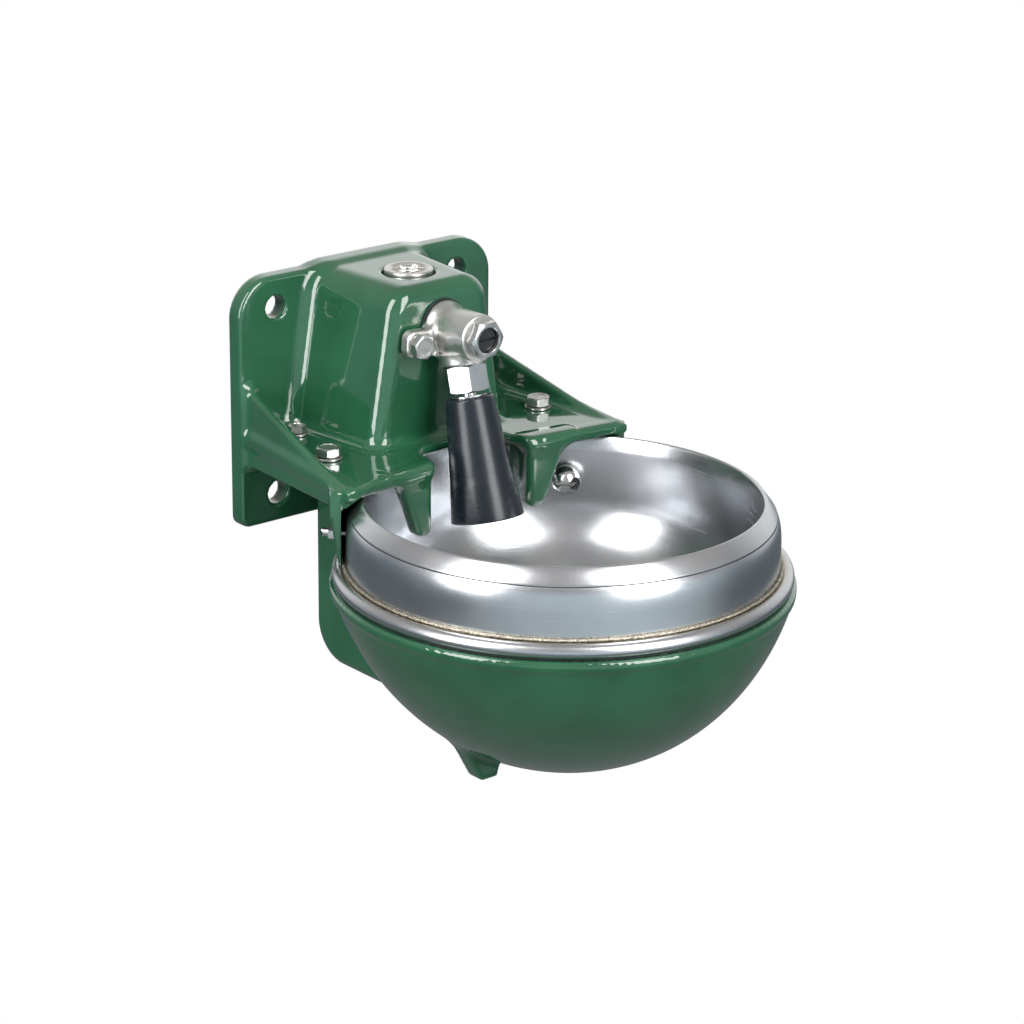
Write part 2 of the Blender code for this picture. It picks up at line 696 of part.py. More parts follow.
def finger():
    """Right guard finger hanging beside the drinking tube."""
    top = LEDGE_TOP - LEDGE_THICKNESS / 4
    reach = FINGER_ROOT_WIDTH + FINGER_ROOT_RADIUS
    outline = rounded_outline([(0, top, 0), (0, FINGER_TIP, FINGER_TIP_RADIUS),
                               (FINGER_TIP_WIDTH, FINGER_TIP, FINGER_TIP_RADIUS),
                               (FINGER_ROOT_WIDTH, APRON_BOTTOM, FINGER_ROOT_RADIUS),
                               (reach, APRON_BOTTOM, 0), (reach, top, 0)])
    block = prism("XZ", outline, 0, FINGER_THICKNESS)
    bevel_where(block, lambda edge: all(v.co.y < GAP and v.co.z < top - GAP for v in edge.verts), FINGER_EDGE)
    return along_front(block)


def finger_cheek():
    """Inner side of the right finger, running back beside the tube."""
    top = LEDGE_TOP - LEDGE_THICKNESS / 4
    start = NOTCH_MOUTH_REACH - FINGER_THICKNESS / 2
    low = FINGER_TIP + OVERRUN
    outline = rounded_outline([(-start, top, 0), (-start, low, 0), (-CHEEK_TIP_REACH, low, FINGER_TIP_RADIUS),
                               (-CHEEK_ROOT_REACH, top, 0)])
    return prism("YZ", outline, NOTCH_MOUTH_X + GAP, NOTCH_MOUTH_X + CHEEK_THICKNESS)


def skirt():
    """Wall that wraps the back of the collar, thinning downwards."""
    profile = [(SKIRT_INNER, SKIRT_FOOT), (SKIRT_INNER + SKIRT_FOOT_THICKNESS, SKIRT_FOOT),
               (SKIRT_INNER + SKIRT_TOP_THICKNESS, GUSSET_FRONT_BOTTOM),
               (SKIRT_INNER + SKIRT_TOP_THICKNESS, LEDGE_TOP - LEDGE_THICKNESS / 2),
               (SKIRT_INNER, LEDGE_TOP - LEDGE_THICKNESS / 2)]
    steps = RING_STEPS // 3
    loops = []
    for step in range(steps + 1):
        angle = math.radians(90 - SKIRT_HALF_ANGLE + 2 * SKIRT_HALF_ANGLE * step / steps)
        loops.append([BOWL_AXIS @ Vector((r * math.cos(angle), r * math.sin(angle), z)) for r, z in profile])
    return skin(loops)


def rim_room():
    """Ring-shaped room that keeps the casting clear of the steel rim and collar."""
    top = RIM_TOP + RIM_CLEARANCE
    shoulder = RIM_SHOULDER_Z + RIM_CLEARANCE
    inner = INSERT_RADIUS - SHEET
    return turned([(inner, top), (RIM_RADIUS + SHEET, top), (SKIRT_INNER, shoulder), (SKIRT_INNER, BEAD_BOTTOM),
                   (inner, BEAD_BOTTOM)], BOWL_AXIS, RING_STEPS)


def skirt_screw_z(side):
    """Height of the skirt screw on the left (-1) or the right (1)."""
    return BALL_SCREW_Z if side > 0 else LOW_SCREW_Z


def skirt_screw_axis(side):
    """Frame of a skirt screw: its height runs outwards along a radius of the bowl."""
    turn = Matrix.Rotation(math.radians(side * (90 - BALL_SCREW_ANGLE)), 4, "Z")
    outwards = Matrix.Rotation(math.radians(side * 90), 4, "Y")
    return Matrix.Translation((0, -BOWL_REACH, skirt_screw_z(side))) @ turn @ outwards


def fixing_holes():
    """Cutters for the four wall screws."""
    for x in (-FIXING_PITCH_X / 2, FIXING_PITCH_X / 2):
        for z in (-FIXING_PITCH_Z / 2, FIXING_PITCH_Z / 2):
            place = Matrix.Translation((x, 0, z)) @ FORWARD
            yield disc(FIXING_RADIUS, -OVERRUN, PLATE_THICKNESS + OVERRUN, place)


def ledge_bolts():
    """Name, side, place and sizes of the four bolts through ledge and flange."""
    for side_name, side in SIDES.items():
        yield (f"ledge_bolt_front_{side_name}", side * FRONT_BOLT_X, -FRONT_BOLT_REACH,
               (LARGE_BOLT_RADIUS, LARGE_FLATS, LARGE_HEAD, LARGE_NUT, LARGE_WASHER_RADIUS))
        yield (f"ledge_bolt_rear_{side_name}", side * REAR_BOLT_X, -REAR_BOLT_REACH,
               (SMALL_BOLT_RADIUS, SMALL_FLATS, SMALL_HEAD, SMALL_NUT, SMALL_WASHER_RADIUS))


def build_upper_casting():
    """Plate, box, ledge, gussets, fingers and skirt as one casting."""
    joined = [valve_box(), ledge()]
    for half in (gusset(), corner_post(), apron(), finger(), finger_cheek()):
        joined += [mirrored(half), half]
    joined.append(skirt())
    cut = [box_hollow(), rim_room(), *fixing_holes()]
    cut.append(disc(VALVE_HOLE_RADIUS, BOX_DEPTH - BOX_WALL - OVERRUN, BOX_DEPTH + OVERRUN, VALVE_AXIS))
    cut.append(round_hole(TEE_RADIUS + TEE_HOLE_PLAY, 0, -TEE_REACH, BOX_TOP - BOX_WALL - OVERRUN,
                          BOX_TOP + OVERRUN, SMALL_STEPS))
    cut.append(round_hole(RISER_RADIUS + RISER_ROOM, 0, -TEE_REACH, SKIRT_FOOT - OVERRUN, LEDGE_TOP, SMALL_STEPS))
    for _, (x, z) in ear_bolts():
        place = Matrix.Translation((x, 0, z)) @ FORWARD
        cut.append(disc(LARGE_BOLT_RADIUS + BOLT_PLAY, BOX_DEPTH - BOX_WALL - OVERRUN, BOX_DEPTH + OVERRUN, place,
                        BOLT_STEPS))
    for side in SIDES.values():
        cut.append(disc(BALL_SCREW_RADIUS + BOLT_PLAY, SKIRT_INNER - OVERRUN,
                        SKIRT_INNER + SKIRT_TOP_THICKNESS + OVERRUN, skirt_screw_axis(side), BOLT_STEPS))
    for _, x, y, sizes in ledge_bolts():
        cut.append(round_hole(sizes[0] + BOLT_PLAY, x, y, LEDGE_BOTTOM - OVERRUN, LEDGE_TOP + OVERRUN))
    return name_piece(body(wall_plate(), joined, cut), "upper_casting", "green_enamel")


# Lower casting

def half_oval(radius, depth, centre_z, top_z, steps):
    """Points (radius, height) down a half oval from its top height to the pole."""
    start = math.asin((centre_z - top_z) / depth)
    points = []
    for step in range(steps):
        angle = start + (math.pi / 2 - start) * step / steps
        points.append((radius * math.cos(angle), centre_z - depth * math.sin(angle)))
    return points + [(0, centre_z - depth)]


def oval_radius(radius, depth, centre_z, z):
    """Radius of such an oval at a height."""
    return radius * math.sqrt(1 - ((centre_z - z) / depth) ** 2)


def cast_bowl():
    """Outer form of the lower casting's bowl, closed over the top."""
    oval = half_oval(CAST_RADIUS, CAST_DEPTH, CAST_CENTRE_Z, CAST_BAND_BOTTOM - GAP, OVAL_STEPS + 1)
    rim = [(0, CAST_TOP), (CAST_BAND_RADIUS - PLATE_EDGE, CAST_TOP), (CAST_BAND_RADIUS, CAST_TOP - PLATE_EDGE),
           (CAST_BAND_RADIUS, CAST_BAND_BOTTOM)]
    return turned(rim + oval, BOWL_AXIS, RING_STEPS)


def cast_hollow():
    """Inside of the lower casting's bowl."""
    meet = CAST_TOP - 2 * CAST_BAND_HEIGHT
    oval = half_oval(CAST_RADIUS - CAST_WALL, CAST_DEPTH - CAST_WALL, CAST_CENTRE_Z, meet, OVAL_STEPS - 1)
    mouth = [(0, CAST_TOP + OVERRUN), (CAST_MOUTH_RADIUS, CAST_TOP + OVERRUN),
             (CAST_MOUTH_RADIUS, CAST_TOP - CAST_BAND_HEIGHT)]
    return turned(mouth + oval, BOWL_AXIS, RING_STEPS)


def neck_block(back, bottom, radius, half_width, top):
    """Solid neck, or its hollow, with a round lower back edge."""
    outline = rounded_outline([(-back, top, 0), (-back, bottom, radius), (-NECK_FRONT_REACH, bottom, 0),
                               (-NECK_FRONT_REACH, top, 0)])
    return prism("YZ", outline, -half_width, half_width)


def neck():
    """Outer form of the neck with its long edges rounded."""
    top = FLANGE_TOP - FLANGE_THICKNESS / 2
    block = neck_block(NECK_BACK, NECK_BOTTOM, NECK_RADIUS, NECK_HALF_WIDTH, top)

    def round_this(edge):
        first, second = (vertex.co for vertex in edge.verts)
        at_top = min(first.z, second.z) > top - GAP
        at_front = max(first.y, second.y) < -NECK_FRONT_REACH + GAP
        return abs(first.x - second.x) < GAP and not at_top and not at_front
    return bevel_where(block, round_this, NECK_EDGE, 3)


def top_flange():
    """Flange under the ledge that the four bolts pull up."""
    half = [(FLANGE_BACK_HALF, -FLANGE_BACK_REACH), (FLANGE_FRONT_HALF, -FLANGE_FRONT_REACH)]
    return prism("XY", half + [(-x, y) for x, y in reversed(half)], FLANGE_BOTTOM, FLANGE_TOP)


def foot():
    """Right-hand foot, a little short of the lowest point of the bowl."""
    lowest = CAST_CENTRE_Z - CAST_DEPTH
    tip = lowest + FOOT_TIP_RISE
    root = lowest + FOOT_ROOT_RISE
    outline = [(FOOT_INNER_ROOT_X, root), (FOOT_INNER_TIP_X, tip),
               (FOOT_OUTER_TIP_X, tip), (FOOT_OUTER_ROOT_X, root)]
    return prism("XZ", outline, -BOWL_REACH - FOOT_THICKNESS / 2, -BOWL_REACH + FOOT_THICKNESS / 2)


def lead_hole(reach_from, reach_to):
    """Cutter for the heater lead's way out of the bowl into the neck."""
    return disc(LEAD_HOLE_RADIUS, reach_from, reach_to, Matrix.Translation((LEAD_X, 0, LEAD_HOLE_Z)) @ FORWARD,
                BOLT_STEPS)


def build_lower_casting():
    """Bowl, neck, flange and feet as one casting."""
    hollow = neck_block(NECK_BACK + NECK_WALL, NECK_BOTTOM + NECK_WALL, NECK_RADIUS - NECK_WALL,
                        NECK_HALF_WIDTH - NECK_WALL, FLANGE_TOP + OVERRUN)
    boss = disc(COUPLING_RADIUS + COUPLING_BOSS_WALL, NECK_BOTTOM, NECK_BOTTOM + COUPLING_BOSS_HEIGHT, TEE_AXIS)
    made = combine(body(neck(), [top_flange()], [hollow]), boss, "UNION")
    collar_room = disc(SKIRT_INNER + SKIRT_TOP_THICKNESS + GAP * 2, CAST_TOP - GAP, FLANGE_TOP + OVERRUN, BOWL_AXIS,
                       RING_STEPS)
    combine(made, collar_room, "DIFFERENCE")
    combine(made, cast_bowl(), "UNION")
    right_foot = foot()
    for shape in (mirrored(right_foot), right_foot):
        combine(made, shape, "UNION")
    cut = [cast_hollow(), lead_hole(NECK_BACK + NECK_WALL + OVERRUN * 3, BOWL_REACH - HEAT_PLATE_RADIUS)]
    bottom_from, bottom_to = NECK_BOTTOM - OVERRUN, NECK_BOTTOM + NECK_WALL + OVERRUN
    cut.append(round_hole(COUPLING_RADIUS + BOLT_PLAY, 0, -TEE_REACH, bottom_from,
                          NECK_BOTTOM + COUPLING_BOSS_HEIGHT + OVERRUN, SMALL_STEPS))
    cut.append(round_hole(GLAND_RADIUS + BOLT_PLAY, LEAD_X + GLAND_FLATS / 2, -GLAND_REACH, bottom_from, bottom_to))
    for _, x, y, sizes in ledge_bolts():
        cut.append(round_hole(sizes[0] + BOLT_PLAY, x, y, FLANGE_BOTTOM - OVERRUN, FLANGE_TOP + OVERRUN))
    for shape in cut:
        combine(made, shape, "DIFFERENCE")
    return name_piece(made, "lower_casting", "green_enamel")


# Steel bowl

def build_bowl_insert():
    """Drawn bowl whose rim turns outwards over the collar."""
    inside = half_oval(INSERT_RADIUS, INSERT_DEPTH, INSERT_SPRING_Z, INSERT_SPRING_Z, OVAL_STEPS)
    outside = half_oval(INSERT_RADIUS + SHEET, INSERT_DEPTH + SHEET, INSERT_SPRING_Z, INSERT_SPRING_Z, OVAL_STEPS)
    crest = (RIM_RADIUS + SHEET / 2, RIM_TOP)
    shoulder_top = (RIM_SHOULDER_RADIUS, RIM_SHOULDER_Z)
    shoulder_low = (RIM_SHOULDER_RADIUS - SHEET / 3, RIM_SHOULDER_Z - SHEET / 2)
    fall, out = SHEET * RIM_FALL_SHARE, SHEET * RIM_OUT_SHARE
    upper = [(RIM_RADIUS - SHEET, RIM_TOP - fall), (RIM_RADIUS - SHEET / 4, RIM_TOP - SHEET / 3), crest,
             (RIM_RADIUS + out, RIM_TOP - SHEET / 3), shoulder_top, shoulder_low,
             (RIM_RADIUS + fall, RIM_TOP - out)]
    profile = list(reversed(inside)) + upper + outside
    made = object_from(turned(profile, BOWL_AXIS, RING_STEPS))
    for side in SIDES.values():
        combine(made, disc(BALL_SCREW_RADIUS + BOLT_PLAY, INSERT_RADIUS - OVERRUN, INSERT_RADIUS + SHEET + OVERRUN,
                           skirt_screw_axis(side), BOLT_STEPS), "DIFFERENCE")
    return name_piece(made, "bowl_insert", "stainless_steel", ROUND_SMOOTH_ANGLE)


def build_collar():
    """Collar sheet, bead ring, their weld and the gasket below."""
    top = RIM_SHOULDER_Z - SHEET / 2 - GAP
    outside = [(COLLAR_RADIUS, BEAD_BOTTOM)]
    turn = [math.radians(angle) for angle in (0, 20, 40, 60)]
    for angle in turn:
        drawn_in = COLLAR_DRAW_IN * (1 - math.cos(angle)) / (1 - math.cos(turn[-1]))
        rise = (top - COLLAR_SHOULDER_Z) * math.sin(angle) / math.sin(turn[-1])
        outside.append((COLLAR_RADIUS - drawn_in, COLLAR_SHOULDER_Z + rise))
    inside = [(radius - SHEET, height) for radius, height in reversed(outside)]
    shell = object_from(turned(outside + inside, BOWL_AXIS, RING_STEPS))
    for side in SIDES.values():
        combine(shell, disc(BALL_SCREW_RADIUS + BOLT_PLAY, COLLAR_RADIUS - SHEET - OVERRUN, COLLAR_RADIUS + SHEET,
                            skirt_screw_axis(side), BOLT_STEPS), "DIFFERENCE")
    name_piece(shell, "collar_shell", "stainless_steel")
    inner = COLLAR_RADIUS + GAP
    nose = BEAD_HEIGHT / 2
    middle = BEAD_TOP - nose
    arc = [math.radians(angle) for angle in range(-90, 91, 30)]
    profile = [(inner, BEAD_TOP), (inner, BEAD_BOTTOM)]
    profile += [(BEAD_RADIUS - nose + nose * math.cos(a), middle + nose * math.sin(a)) for a in arc]
    bead = object_from(turned(profile, BOWL_AXIS, RING_STEPS))
    name_piece(bead, "bead_ring", "stainless_steel", ROUND_SMOOTH_ANGLE)
    weld = ring_wire(inner + WELD_RADIUS, WELD_RADIUS, BEAD_TOP + GAP + WELD_RADIUS, BOWL_AXIS, RING_STEPS)
    name_piece(object_from(weld), "weld_seam", "stainless_steel")
    gasket = washer(CAST_MOUTH_RADIUS + GAP, CAST_BAND_RADIUS - PLATE_EDGE, GASKET_BOTTOM, BEAD_BOTTOM - GAP,
                    BOWL_AXIS, RING_STEPS)
    name_piece(object_from(gasket), "rim_gasket", "black_rubber")


# Heater

def build_liner():
    """Foam shell inside the lower casting."""
    top = CAST_TOP - 2 * CAST_BAND_HEIGHT
    outer = CAST_WALL + GAP * 2
    inner = outer + LINER_THICKNESS
    outside = half_oval(CAST_RADIUS - outer, CAST_DEPTH - outer, CAST_CENTRE_Z, top, OVAL_STEPS - 2)
    inside = half_oval(CAST_RADIUS - inner, CAST_DEPTH - inner, CAST_CENTRE_Z, top, OVAL_STEPS - 2)
    made = object_from(turned(list(reversed(outside)) + inside, BOWL_AXIS, RING_STEPS // 2))
    combine(made, lead_hole(NECK_BACK, BOWL_REACH - HEAT_PLATE_RADIUS), "DIFFERENCE")
    return name_piece(made, "insulation_liner", "foam")


def under_bowl(radius, away):
    """Point (radius, height) below the steel bowl, a distance away from it, near a radius."""
    across = INSERT_RADIUS + SHEET + away
    deep = INSERT_DEPTH + SHEET + away
    return radius, INSERT_SPRING_Z - deep * math.sqrt(1 - (radius / across) ** 2)


def build_heater():
    """Heat plate, tubular element, thermostat and the lead to its gland."""
    top = [under_bowl(HEAT_PLATE_RADIUS * share, GAP * 2) for share in HEAT_PLATE_SHARES]
    low = [under_bowl(HEAT_PLATE_RADIUS * share, GAP * 2 + HEAT_PLATE_THICKNESS) for share in HEAT_PLATE_SHARES]
    name_piece(object_from(turned(top + list(reversed(low)), BOWL_AXIS, RING_STEPS)), "heater_plate", "aluminium")
    radius, height = under_bowl(ELEMENT_RADIUS, HEAT_PLATE_THICKNESS + ELEMENT_WIRE + GAP * 3)
    element = ring_wire(radius, ELEMENT_WIRE, height, BOWL_AXIS, RING_STEPS // 2)
    name_piece(object_from(element), "heater_element", "zinc_steel")
    start = under_bowl(0, HEAT_PLATE_THICKNESS + GAP * 3)[1]
    thermostat = disc(THERMOSTAT_RADIUS, start - THERMOSTAT_HEIGHT, start, BOWL_AXIS, BOLT_STEPS)
    name_piece(object_from(thermostat), "thermostat", "black_plastic")


def smooth_route(points, per_span):
    """Points along a smooth curve through the given ones."""
    ends = [points[0] * 2 - points[1]] + points + [points[-1] * 2 - points[-2]]
    route = []
    for a, b, c, d in zip(ends, ends[1:], ends[2:], ends[3:]):
        for step in range(per_span):
            t = step / per_span
            route.append(((b * 2) + (c - a) * t + (a * 2 - b * 5 + c * 4 - d) * t ** 2
                          + (b * 3 - a - c * 3 + d) * t ** 3) * 0.5)
    return route + [points[-1]]


def swept(route, radius, sides=COIL_STEPS):
    """Round bar along a route of points."""
    loops = []
    last = len(route) - 1
    for index, point in enumerate(route):
        along = (route[min(index + 1, last)] - route[max(index - 1, 0)]).normalized()
        across = along.cross(Vector((1, 0, 0))).normalized()
        other = along.cross(across)
        angles = [2 * math.pi * side / sides for side in range(sides)]
        loops.append([point + (across * math.cos(a) + other * math.sin(a)) * radius for a in angles])
    return skin(loops)


def build_heater_lead():
    """Lead from under the bowl, through the neck, into its gland."""
    gland_x = LEAD_X + GLAND_FLATS / 2
    gland_top = NECK_BOTTOM + GLAND_LENGTH - GLAND_HEAD
    points = []
    for share in LEAD_SHARES:
        radius = (INSERT_RADIUS + SHEET) * share
        bowl_z = under_bowl(radius, 0)[1]
        liner_inset = CAST_WALL + LINER_THICKNESS
        liner_z = CAST_CENTRE_Z - (CAST_DEPTH - liner_inset) * math.sqrt(
            1 - (radius / (CAST_RADIUS - liner_inset)) ** 2)
        height = bowl_z + (liner_z - bowl_z) * LEAD_DEPTH_SHARE
        points.append(Vector((LEAD_X, -BOWL_REACH + math.sqrt(radius ** 2 - LEAD_X ** 2), height)))
    hole_inner = BOWL_REACH - oval_radius(CAST_RADIUS, CAST_DEPTH, CAST_CENTRE_Z, LEAD_HOLE_Z)
    points.append(Vector((LEAD_X, -hole_inner - CAST_WALL, LEAD_HOLE_Z)))
    points.append(Vector((LEAD_X, -hole_inner + CAST_WALL, LEAD_HOLE_Z)))
    half_way = (LEAD_HOLE_Z + gland_top + LEAD_STRAIGHT) / 2
    bend_reach = GLAND_REACH + (hole_inner - GLAND_REACH) * LEAD_BEND_SHARE
    points.append(Vector((LEAD_X + GLAND_FLATS / 4, -bend_reach, half_way)))
    points.append(Vector((gland_x, -GLAND_REACH, gland_top + LEAD_STRAIGHT)))
    points.append(Vector((gland_x, -GLAND_REACH, gland_top + 2 * GAP)))
    name_piece(object_from(swept(smooth_route(points, 3), LEAD_RADIUS)), "heater_lead", "black_rubber")
    place = Matrix.Translation((gland_x, -GLAND_REACH, NECK_BOTTOM))
    head = hexagon(GLAND_FLATS, -GLAND_HEAD - GAP, -GAP, place)
    thread = disc(GLAND_RADIUS, -GLAND_HEAD / 2, GLAND_LENGTH - GLAND_HEAD, place, BOLT_STEPS)
    name_piece(body(head, [thread]), "cable_gland", "black_plastic")


# Water supply

def build_supply():
    """Tee behind the box front, riser pipe through the neck and the coupling at its foot."""
    back = -BOX_DEPTH + BOX_WALL + GAP
    upright = disc(TEE_RADIUS, TEE_BOTTOM, TEE_TOP, TEE_AXIS)
    branch = disc(TEE_BRANCH_RADIUS, TEE_REACH + TEE_WALL_SHIFT, -back - GAP, VALVE_AXIS)
    ears = ear_plate(-back - TEE_FLANGE_THICKNESS, -back, EAR_RADIUS)
    cut = [round_hole(TEE_BORE, 0, -TEE_REACH, TEE_BOTTOM - OVERRUN, TEE_TOP + OVERRUN, SMALL_STEPS),
           round_hole(RISER_RADIUS + GAP, 0, -TEE_REACH, TEE_BOTTOM - OVERRUN, TEE_BOTTOM + RISER_SCREW_DEPTH,
                      SMALL_STEPS),
           disc(VALVE_SPIGOT_RADIUS + BOLT_PLAY, TEE_REACH + TEE_BORE / 2, -back + OVERRUN, VALVE_AXIS)]
    for _, (x, z) in ear_bolts():
        place = Matrix.Translation((x, 0, z)) @ FORWARD
        cut.append(disc(LARGE_BOLT_RADIUS + GAP, -back - TEE_FLANGE_THICKNESS - OVERRUN, -back + OVERRUN, place,
                        BOLT_STEPS))
    name_piece(body(upright, [branch, ears], cut), "connection_tee", "cast_stainless")
    foot_z = NECK_BOTTOM - COUPLING_STICK_OUT
    pipe_low = foot_z + COUPLING_LENGTH - RISER_SCREW_DEPTH + GAP
    pipe = washer(RISER_RADIUS - RISER_WALL, RISER_RADIUS, pipe_low, TEE_BOTTOM + RISER_SCREW_DEPTH - GAP, TEE_AXIS)
    name_piece(object_from(pipe), "riser_pipe", "zinc_steel")
    socket = washer(TEE_BORE, COUPLING_RADIUS, foot_z, foot_z + COUPLING_LENGTH, TEE_AXIS)
    room = round_hole(RISER_RADIUS + GAP, 0, -TEE_REACH, foot_z + COUPLING_LENGTH - RISER_SCREW_DEPTH,
                      foot_z + COUPLING_LENGTH + OVERRUN, SMALL_STEPS)
    name_piece(body(socket, cut=[room]), "lower_coupling", "brass")


# Valve

def ear_bolts():
    """Name and place (x, z) of the two valve bolts."""
    return {"left": EAR_BOLT_LEFT, "right": EAR_BOLT_RIGHT}.items()


def ear_plate(near, far, end):
    """Two-eared flange plate across the valve, between two distances from the wall."""
    left, right = Vector(EAR_BOLT_LEFT), Vector(EAR_BOLT_RIGHT)
    along = (right - left).normalized() * end
    up = Vector((-along.y, along.x)).normalized() * EAR_HALF_HEIGHT
    corners = [left - along - up, right + along - up, right + along + up, left - along + up]
    return prism("XZ", rounded_outline([(*corner, EAR_RADIUS) for corner in corners]), -far, -near)


def build_valve_body():
    """Cast body: spigot into the tee, two-eared flange, tapered barrel and outlet."""
    root = BOX_DEPTH + GAP * 2 + VALVE_GASKET
    shoulder = root + VALVE_FLANGE_THICKNESS
    spigot_end = BOX_DEPTH - VALVE_SPIGOT_LENGTH
    groove = VALVE_SPIGOT_RADIUS - SEAL_GROOVE_DEPTH
    groove_half = SEAL_GROOVE_HALF
    groove_mid = seal_reach()
    nose_end = VALVE_NOSE_REACH + NOSE_BOSS_LENGTH
    barrel = turned([(0, spigot_end), (VALVE_SPIGOT_RADIUS, spigot_end),
                     (VALVE_SPIGOT_RADIUS, groove_mid - groove_half), (groove, groove_mid - groove_half),
                     (groove, groove_mid + groove_half), (VALVE_SPIGOT_RADIUS, groove_mid + groove_half),
                     (VALVE_SPIGOT_RADIUS, root), (VALVE_ROOT_RADIUS, root),
                     (VALVE_ROOT_RADIUS, root + VALVE_ROOT_LENGTH), (VALVE_WAIST_RADIUS, root + VALVE_WAIST_LENGTH),
                     (VALVE_NOSE_RADIUS, VALVE_NOSE_REACH - VALVE_NOSE_CHAMFER),
                     (VALVE_NOSE_RADIUS - VALVE_NOSE_CHAMFER, VALVE_NOSE_REACH),
                     (NOSE_BOSS_RADIUS, VALVE_NOSE_REACH), (NOSE_BOSS_RADIUS, nose_end), (0, nose_end)],
                    VALVE_AXIS)
    outlet = turned([(0, OUTLET_CHAMFER), (OUTLET_ROOT_RADIUS, OUTLET_CHAMFER),
                     (OUTLET_ROOT_RADIUS, OUTLET_FLARE_START), (OUTLET_RADIUS, OUTLET_FLARE_END),
                     (OUTLET_RADIUS, OUTLET_END - OUTLET_CHAMFER), (OUTLET_RADIUS - OUTLET_CHAMFER, OUTLET_END),
                     (OUTLET_THREAD_RADIUS, OUTLET_END),
                     (OUTLET_THREAD_RADIUS, OUTLET_THREAD_END), (0, OUTLET_THREAD_END)], OUTLET_AXIS)
    cut = [disc(VALVE_CHAMBER_RADIUS, spigot_end - OVERRUN, nose_end + OVERRUN, VALVE_AXIS),
           disc(REGULATOR_SHOULDER_RADIUS + GAP, nose_end - REGULATOR_SHOULDER_LENGTH - GAP, nose_end + OVERRUN,
                VALVE_AXIS),
           disc(OUTLET_BORE, 0, OUTLET_THREAD_END + OVERRUN, OUTLET_AXIS)]
    for _, (x, z) in ear_bolts():
        place = Matrix.Translation((x, 0, z)) @ FORWARD
        cut.append(disc(LARGE_BOLT_RADIUS + BOLT_PLAY, root - OVERRUN, shoulder + OVERRUN, place, BOLT_STEPS))
    made = body(barrel, [ear_plate(root + GAP, shoulder, EAR_END), outlet], cut)
    return name_piece(made, "valve_body", "cast_stainless")


def seal_reach():
    """Distance of the spigot's seal from the wall."""
    return BOX_DEPTH - VALVE_SPIGOT_LENGTH / 2


def build_valve_trim():
    """Gasket, spigot seal, front cap and regulator."""
    gasket = washer(VALVE_SPIGOT_RADIUS + GAP, VALVE_GASKET_RADIUS, BOX_DEPTH + GAP,
                    BOX_DEPTH + GAP + VALVE_GASKET, VALVE_AXIS)
    name_piece(object_from(gasket), "valve_gasket", "black_rubber")
    groove = VALVE_SPIGOT_RADIUS - SEAL_GROOVE_DEPTH
    seal = ring_wire(groove + GAP + SEAL_WIRE, SEAL_WIRE, seal_reach(), VALVE_AXIS)
    name_piece(object_from(seal), "spigot_seal", "black_rubber")
    back = VALVE_NOSE_REACH + GAP
    front = back + CAP_LENGTH
    cap = hexagon(CAP_FLATS, back, front, VALVE_AXIS, CAP_LIP / 3)
    cut = [disc(NOSE_BOSS_RADIUS + GAP, back - OVERRUN, front - CAP_LIP, VALVE_AXIS),
           disc(CAP_OPENING, front - CAP_LIP - OVERRUN, front + OVERRUN, VALVE_AXIS)]
    name_piece(body(cap, cut=cut), "valve_cap", "cast_stainless")


def build_regulator():
    """Slotted plug that throttles the flow, with its seal ring; it turns on the valve axis."""
    front = VALVE_NOSE_REACH + GAP + CAP_LENGTH - REGULATOR_RECESS
    shoulder = VALVE_NOSE_REACH + NOSE_BOSS_LENGTH
    shoulder_back = shoulder - REGULATOR_SHOULDER_LENGTH
    groove = REGULATOR_SHANK_RADIUS - REGULATOR_GROOVE_DEPTH
    groove_mid = (shoulder_back + REGULATOR_END_REACH) / 2
    groove_half = REGULATOR_GROOVE_HALF
    wire = REGULATOR_SEAL_WIRE
    plug = turned([(0, REGULATOR_END_REACH), (REGULATOR_SHANK_RADIUS, REGULATOR_END_REACH),
                   (REGULATOR_SHANK_RADIUS, groove_mid - groove_half), (groove, groove_mid - groove_half),
                   (groove, groove_mid + groove_half), (REGULATOR_SHANK_RADIUS, groove_mid + groove_half),
                   (REGULATOR_SHANK_RADIUS, shoulder_back), (REGULATOR_SHOULDER_RADIUS, shoulder_back),
                   (REGULATOR_SHOULDER_RADIUS, shoulder), (REGULATOR_HEAD_RADIUS, shoulder),
                   (REGULATOR_HEAD_RADIUS, front), (0, front)], VALVE_AXIS)
    half_slot = REGULATOR_SLOT_WIDTH / 2
    reach = REGULATOR_HEAD_RADIUS + OVERRUN
    slot_outline = [(-reach, VALVE_Z - half_slot), (reach, VALVE_Z - half_slot), (reach, VALVE_Z + half_slot),
                    (-reach, VALVE_Z + half_slot)]
    slot = prism("XZ", slot_outline, -front - OVERRUN, -front + REGULATOR_SLOT_DEPTH)
    plug_object = name_piece(body(plug, cut=[slot]), "regulator_plug", "black_plastic")
    seal = ring_wire(groove + GAP + wire, wire, groove_mid, VALVE_AXIS)
    seal_object = name_piece(object_from(seal), "regulator_seal", "black_rubber")
    for made in (plug_object, seal_object):
        set_origin(made, (0, -groove_mid, VALVE_Z))


